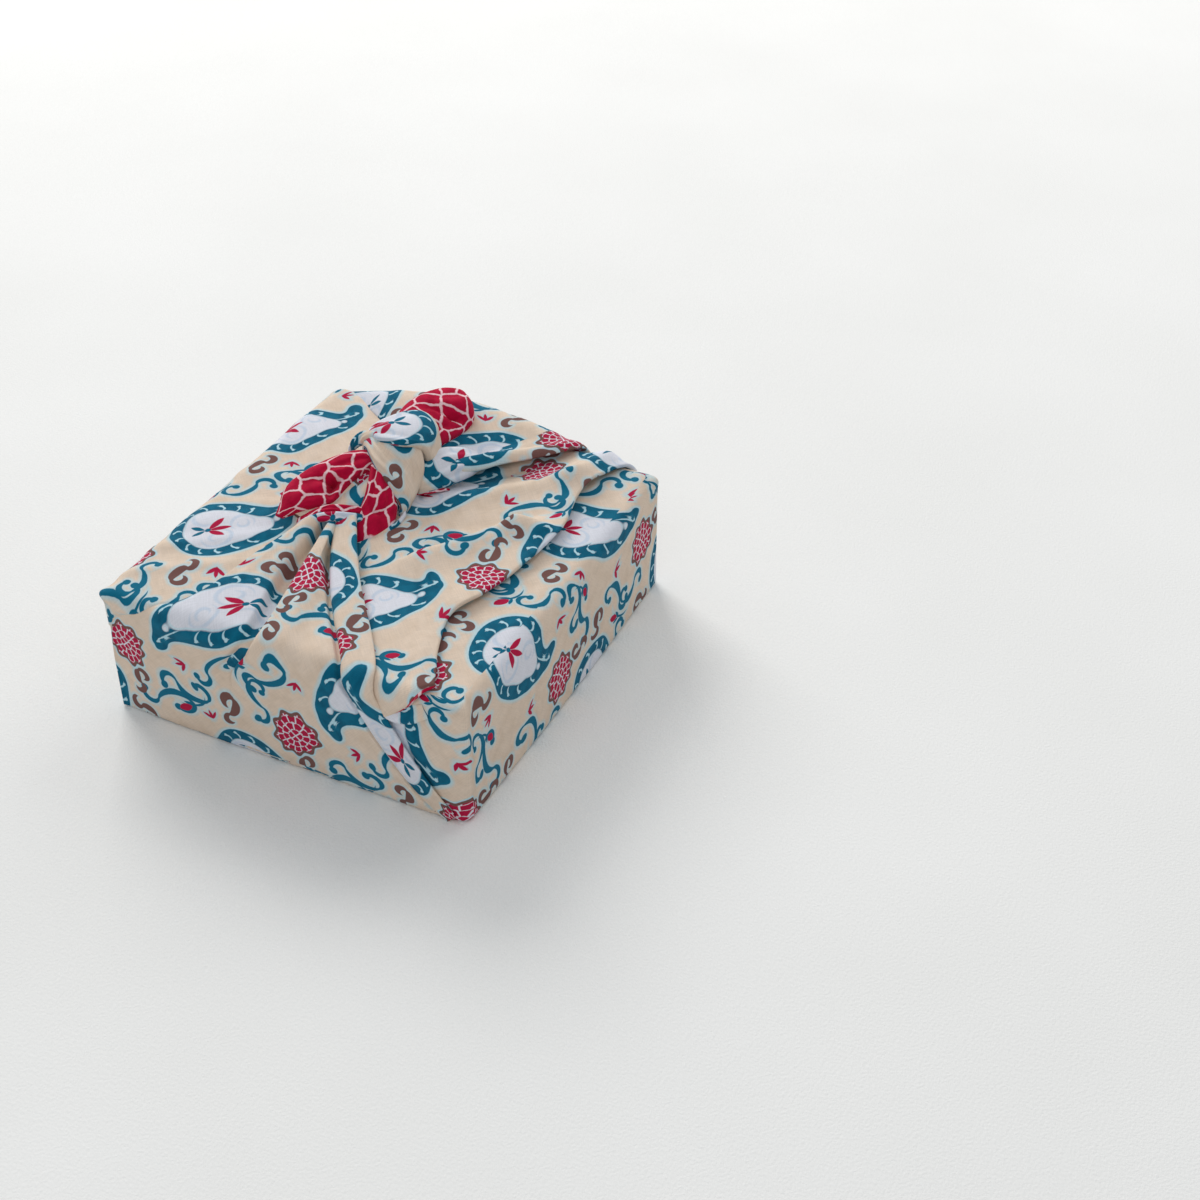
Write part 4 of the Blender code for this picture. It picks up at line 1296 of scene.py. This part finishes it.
# Every band is lofted between its two edges, a row for each section, right and left as one walks
# along it on its outer side. A row: left x, y, z, right x, y, z, thick. A crease or ridge: widths
# before and after it, then its places as share of the length, angle round the section (0 the
# right edge, 90 the outer side, 180 the left edge) and height
KNOT_BANDS = (
    knot_band("near_neck", "face", (-40, -205, 15), rows=(
        (-27, -9, 59, -17, -11, 59, 6),
        (-27, -4, 61.5, -14.5, -6, 61.5, 8),
        (-25, 4, 64, -11.5, 2, 64, 9),
        (-21, 13, 66, -6, 11, 66, 10),
    )),
    knot_band("far_neck", "face", (21, -11.9, 126), rows=(
        (-10, 34, 66, 0, 22, 61, 11),
        (-7, 40, 67, 5, 28.5, 60.5, 12),
        (-3, 46, 67, 9, 35, 60.5, 12.5),
        (2, 51, 66, 12.5, 42, 60.5, 10),
        (6, 57, 62, 14, 50, 60, 5),
    ), relief=(
        (1.2, 2.2, ((0.1, 58, -1.2), (0.5, 74, -1.5), (0.92, 84, -0.6))),
        (1.4, 2, ((0.12, 110, -0.9), (0.55, 116, -1), (0.9, 112, -0.5))),
        (1.2, 1.8, ((0.14, 24, -0.8), (0.55, 34, -1), (0.9, 44, -0.4))),
    )),
    knot_band("near_wrap", "face", (1, 20.8, -45), rows=(
        (-27, 31, 66, -24, 24, 66, 5),
        (-26, 31.5, 73, -25.5, 24, 73, 6),
        (-23, 32, 77, -23, 21, 76, 6),
        (-17, 32, 79, -15.5, 14, 75, 6),
        (-10, 33, 78, -9.5, 11, 71.5, 6.5),
        (-4.5, 32.5, 75, -4, 9.5, 66.5, 6),
        (-2.2, 30, 70, -0.2, 8, 61.5, 5.5),
        (-4, 28, 64, -1, 8, 57.5, 5),
    ), relief=(
        (1.1, 2.8, ((0.3, 96, -0.5), (0.36, 88, -1.6), (0.5, 74, -1.9), (0.57, 72, -1.7),
                    (0.65, 82, -1.5), (0.82, 94, -0.8))),
        (1.4, 1.6, ((0.26, 118, -0.8), (0.45, 112, -0.9), (0.62, 116, -0.6))),
        (1.2, 1.3, ((0.3, 34, 0.2), (0.45, 36, 0.7), (0.62, 40, 0.7), (0.82, 52, 0.5))),
        (1.2, 1.6, ((0.34, 52, -0.2), (0.5, 54, -0.7), (0.7, 66, -0.7), (0.86, 76, -0.4))),
        (1, 1.6, ((0.6, 130, -0.3), (0.72, 112, -0.9), (0.8, 100, -0.9), (0.88, 92, -0.4))),
    )),
    knot_band("far_wrap", "face", (-21.5, 4.1, -54), rows=(
        (-28.5, 33, 66, -24, 27, 66, 6),
        (-28.5, 33, 72, -24, 27.5, 73, 7),
        (-27.5, 36, 76.5, -22, 26, 77, 7),
        (-25, 41, 78.5, -16.5, 24, 79.5, 7),
        (-20.5, 48, 79, -8.5, 25, 80, 8),
        (-15.5, 52, 78.5, -4.5, 29.5, 78, 8),
        (-11, 52.5, 76, -2.8, 33, 73, 8),
        (-7.8, 50, 71, -2.2, 34, 66, 8),
        (-6.5, 46, 64, -2.5, 34, 60, 7),
    ), relief=(
        (0.8, 2.6, ((0.8, 140, -0.3), (0.77, 104, -1.3), (0.75, 60, -1.3), (0.76, 24, -0.4))),
        (1.3, 2, ((0.2, 70, -0.9), (0.34, 56, -1), (0.5, 40, -0.5))),
        (1.6, 2.4, ((0.22, 104, -0.9), (0.38, 112, -0.8), (0.56, 124, -0.4))),
        (1.2, 1.4, ((0.3, 30, 0.3), (0.45, 22, 0.7), (0.6, 20, 0.6), (0.72, 24, 0.2))),
    )),
    knot_band("lower_loop", "reverse", (0, 0, 30), rows=(
        (-13, 20, 73, -18, 15, 72, 6),
        (-9, 15.5, 70, -15, 8, 70.5, 7),
        (-5, 12, 66, -13.5, 1.5, 66.5, 8),
        (-2, 8.5, 61.5, -12.5, -6, 61.5, 8),
        (-1, 4, 57.5, -9.5, -13.5, 57, 7),
        (-3, 2, 55, -10, -10, 55, 6),
    ), relief=(
        (1, 1.3, ((0.6, 70, -1.2), (0.65, 78, -2.4), (0.71, 96, -1.8))),
        (1.3, 2.2, ((0.12, 62, -1), (0.36, 56, -1.3), (0.58, 62, -0.8))),
        (1.4, 2, ((0.26, 112, -0.6), (0.52, 122, -1), (0.74, 112, -0.6))),
        (1.4, 2, ((0.48, 30, -0.4), (0.66, 36, -0.8), (0.82, 46, -0.4))),
    )),
    knot_band("near_ear_root", "face", (40, 40, 0), rows=(
        (-15, 13, 68, -20, 17, 69, 6),
        (-15.5, 7, 66.5, -22, 10, 67, 8),
        (-17.5, 0.5, 64, -25, 3, 65, 8),
        (-21, -6, 61.8, -30, -4, 63, 7),
        (-27, -10.5, 60.5, -34, -10, 62, 5),
        (-33, -14, 60.5, -37, -14, 61.5, 3),
    ), relief=(
        (1, 1.6, ((0.08, 84, -0.8), (0.4, 92, -1.1), (0.8, 100, -0.6))),
    )),
    knot_band("near_ear", "reverse", (20, 10, 10), rows=(
        (-15, 18, 70, -24, 24, 73, 7),
        (-18, 14, 71, -29, 17, 75, 8),
        (-20.5, 8.5, 70, -34.5, 12, 73.5, 9),
        (-22, 1.5, 68, -40.5, 4.5, 71, 9),
        (-24, -4.5, 65.5, -44.5, -2.5, 68.5, 8),
        (-29.5, -9, 63.5, -45, -9, 66.5, 7),
        (-35, -13, 62.3, -43.5, -14, 64.5, 5),
        (-39, -18.5, 62, -42.2, -19, 63, 2.5),
    ), relief=(
        (2.4, 2.4, ((0.5, 86, -2.2), (0.47, 108, -4.6), (0.45, 127, -4.2))),
        (2.2, 2.4, ((0.47, 120, -4.4), (0.53, 130, -4.6), (0.58, 142, -3))),
        (1.2, 2.6, ((0.22, 118, 0.3), (0.36, 112, 1.1), (0.44, 96, 1), (0.49, 74, 0.5))),
        (1.3, 2, ((0.6, 118, -0.9), (0.75, 104, -1), (0.92, 96, -0.4))),
        (1.2, 2.2, ((0.14, 96, -0.9), (0.3, 88, -0.8), (0.44, 70, -0.5))),
        (1.6, 2.4, ((0.52, 84, -0.8), (0.62, 66, -0.7), (0.74, 60, -0.3))),
        (0.9, 1.1, ((0.18, 150, 0.3), (0.26, 150, 0.9), (0.37, 150, 1), (0.47, 154, 1),
                    (0.57, 158, 0.9), (0.68, 166, 0.6))),
    )),
    knot_band("far_ear", "reverse", (60, -20, 50), rows=(
        (-25, 44, 74, -6, 44, 67, 9),
        (-27, 54, 75, -5, 52, 66, 11),
        (-26, 62.5, 76, -3.5, 60.5, 65, 12),
        (-23.5, 70, 76, -2, 67, 65.5, 12),
        (-20.5, 76, 75, -1.5, 71.5, 67.5, 11),
        (-17, 80, 73.5, -4.5, 76.5, 69.5, 8),
        (-13.5, 82.5, 72, -9, 80, 70.5, 3),
    ), relief=(
        (2.4, 2.8, ((0.56, 62, -3), (0.6, 54, -3.4), (0.64, 50, -2.2))),
        (1.2, 2.4, ((0.36, 112, -0.6), (0.44, 104, -1.5), (0.48, 84, -1.6), (0.54, 66, -1.6))),
        (1.4, 2.2, ((0.18, 70, -0.8), (0.3, 58, -1.2), (0.44, 46, -0.8))),
        (2.4, 3, ((0.66, 88, 0.8), (0.8, 74, 0.7))),
        (1.6, 2.4, ((0.62, 116, -0.5), (0.78, 100, -0.9), (0.9, 84, -0.5))),
        (1.2, 1.6, ((0.5, 30, -0.5), (0.62, 24, -1), (0.76, 26, -0.5))),
    )),
    knot_band("knuckle", "face", (12, 3, 60), rows=(
        (-35.5, 28, 69.5, -33.5, 25, 69, 3),
        (-33, 29.5, 73.5, -31, 24.5, 73, 5),
        (-29.5, 31, 76.6, -27.5, 24.8, 76, 6),
        (-25, 31.5, 78.6, -23.5, 25.4, 78, 5),
        (-21, 31.5, 79, -20, 27, 78.6, 3),
    ), relief=(
        (0.7, 1.1, ((0.1, 30, -0.8), (0.4, 80, -1.3), (0.7, 130, -1), (0.9, 160, -0.5))),
        (0.7, 1.1, ((0.4, 20, -0.8), (0.62, 70, -1.2), (0.86, 120, -0.8))),
        (0.7, 1, ((0.06, 80, -0.8), (0.24, 120, -1.1), (0.42, 160, -0.6))),
    ), goes_with="near_wrap"),
    knot_band("near_collar", "face", (-14, -4, 0), rows=(
        (-33, -16.5, 60.4, -32.5, -18, 59.4, 2),
        (-29.5, -15.6, 63.6, -29, -18, 61.2, 3.3),
        (-24, -13.8, 66.2, -23.5, -16.8, 63.6, 3.8),
        (-18.3, -11.5, 67.2, -17.3, -14.5, 64.4, 3.8),
        (-13.2, -6.6, 65, -11.8, -9, 62.2, 3.8),
        (-11, -2, 62, -9.5, -4, 59.8, 3.4),
    ), relief=(
        (0.7, 1.2, ((0.1, 100, -0.5), (0.5, 84, -0.8), (0.9, 100, -0.5))),
    ), goes_with="near_neck"),
    knot_band("ear_fold", "reverse", (33, 8, 20), rows=(
        (-34, -14, 60.8, -33.5, -17, 59.4, 2),
        (-29.5, -11.4, 64.2, -29, -14.8, 62, 2.8),
        (-24, -9.4, 67.2, -23.5, -12.4, 65.4, 3),
        (-18.5, -7.4, 68, -18, -10.2, 66.2, 3),
        (-14, -2.8, 65.6, -13, -5.2, 63.8, 2.8),
        (-11.5, 1.6, 62.8, -10.5, 0.2, 61, 2.8),
    ), relief=(
        (0.7, 1.2, ((0.1, 110, -0.5), (0.4, 90, -0.8), (0.8, 80, -0.5))),
    ), goes_with="near_ear"),
    knot_band("loop_rim", "face", (5, 5, 40), rows=(
        (0.6, 10, 60, 2.2, 8, 59, 2.2),
        (0.2, 3.8, 58.6, 1.8, 1.4, 57.6, 2.4),
        (-2.6, -3.6, 58, -1.2, -5.8, 57, 2.4),
        (-8.2, -11.6, 57.6, -7.8, -13.4, 56.8, 1.4),
    ), goes_with="near_wrap"),
    knot_band("twisted_hem", "reverse", (3, 52, 75), rows=(
        (-3, 24.6, 60.4, -1.6, 22.4, 59.4, 2.4),
        (1, 27.2, 60.4, 2.2, 25.2, 59.2, 3),
        (4.6, 30.2, 60, 5.6, 28.8, 59, 2.4),
        (8, 33.2, 58.8, 8.4, 32.6, 58.4, 0.8),
    ), relief=(
        (0.5, 0.9, ((0.1, 20, -0.5), (0.3, 90, -0.9), (0.5, 160, -0.6))),
        (0.5, 0.9, ((0.4, 20, -0.5), (0.6, 90, -0.9), (0.8, 160, -0.6))),
    ), goes_with="far_neck"),
)
KNOT_ROW_STEPS = 10
KNOT_SIDES = 96
KNOT_CRUMPLE = 0.5
# How full the section is at its edges, and how full at its back
EDGE_FULLNESS = 0.9
BACK_FULLNESS = 0.8
# Half the girth by the greatest width, the share of it that counts as the flat width, and the
# least flat width
GIRTH_SHARE = 1.2
FLAT_SHARE = 0.84
LEAST_FLAT = 11.0


def build_knot_band(spec, face, reverse):
    """One band of the knot, and its flat size."""
    rows = smooth_rows(spec["rows"], KNOT_ROW_STEPS)
    left = rows[:, 0:3]
    right = rows[:, 3:6]
    thick = rows[:, 6:7]
    centre = (left + right) / 2
    width = np.linalg.norm(right - left, axis=1)[:, None]
    across = (right - left) / width
    facing = unit_rows(np.cross(across, unit_rows(np.gradient(centre, axis=0))))
    angle = 2 * math.pi * np.arange(KNOT_SIDES) / KNOT_SIDES
    cosine = np.cos(angle)[:, None]
    sine = np.sin(angle)[:, None]
    tall = np.sign(sine) * np.abs(sine) ** EDGE_FULLNESS
    tall = np.where(tall < 0, tall * BACK_FULLNESS, tall)
    walked = walked_along(centre)
    girth = width.max() * GIRTH_SHARE
    around = (angle / math.pi * girth)[None, :]
    lines = [
        (near, far, [(share * walked[-1], turn / 180 * girth, lift)
                     for share, turn, lift in points])
        for near, far, points in spec["relief"]
    ]
    across, facing, width, thick = (rows[:, None, :] for rows in (across, facing, width, thick))
    outward = cosine * width / 2 * across + tall * thick / 2 * facing
    normal = unit_rows(cosine * thick * across + sine * width * facing)
    lift = drawn_relief(walked[:, None], around, lines)
    slack = crumple(walked[:, None], around, KNOT_CRUMPLE, len(spec["name"]))
    lift = lift + slack * np.abs(sine[:, 0])
    places = centre[:, None, :] + outward + normal * lift[..., None]
    chart = slanted_chart(*spec["print"], walked, around)
    material = face if spec["cloth"] == "face" else reverse
    piece = make_piece(spec["name"], places, chart, (material,), closed=True)
    return piece, (walked[-1] * MM, max(girth * FLAT_SHARE, LEAST_FLAT) * MM)


def build_knot(face, reverse):
    """All the knot's bands."""
    built = {spec["name"]: build_knot_band(spec, face, reverse) for spec in KNOT_BANDS}
    for spec in KNOT_BANDS:
        if spec["goes_with"]:
            continue


# ---------------------------------------------------------------- everything together


def make_floor():
    bpy.ops.mesh.primitive_grid_add(x_subdivisions=8, y_subdivisions=8, size=2 * FLOOR_HALF)
    floor = bpy.context.object
    floor.name = "table_cloth"
    floor.data.materials.append(floor_material())


make_camera()
make_lights()
make_floor()
FACE = cloth_material("printed cotton face", print_colour)
BACK = cloth_material("printed cotton reverse", net_colour)
under = build_wrap(FACE, BACK)
build_pleat(FACE)
build_flap(FACE, BACK)
build_gather("near_gather", NEAR_FOLD_PLACES, NEAR_FOLD_HEIGHTS, NEAR_CREASES, 6, -0.3, 21, FACE)
build_gather("far_gather", FAR_FOLD_PLACES, FAR_FOLD_HEIGHTS, FAR_CREASES, 5, 0.3, 22, FACE,
             FAR_PRINT)
build_band(FACE)
build_knot(FACE, BACK)
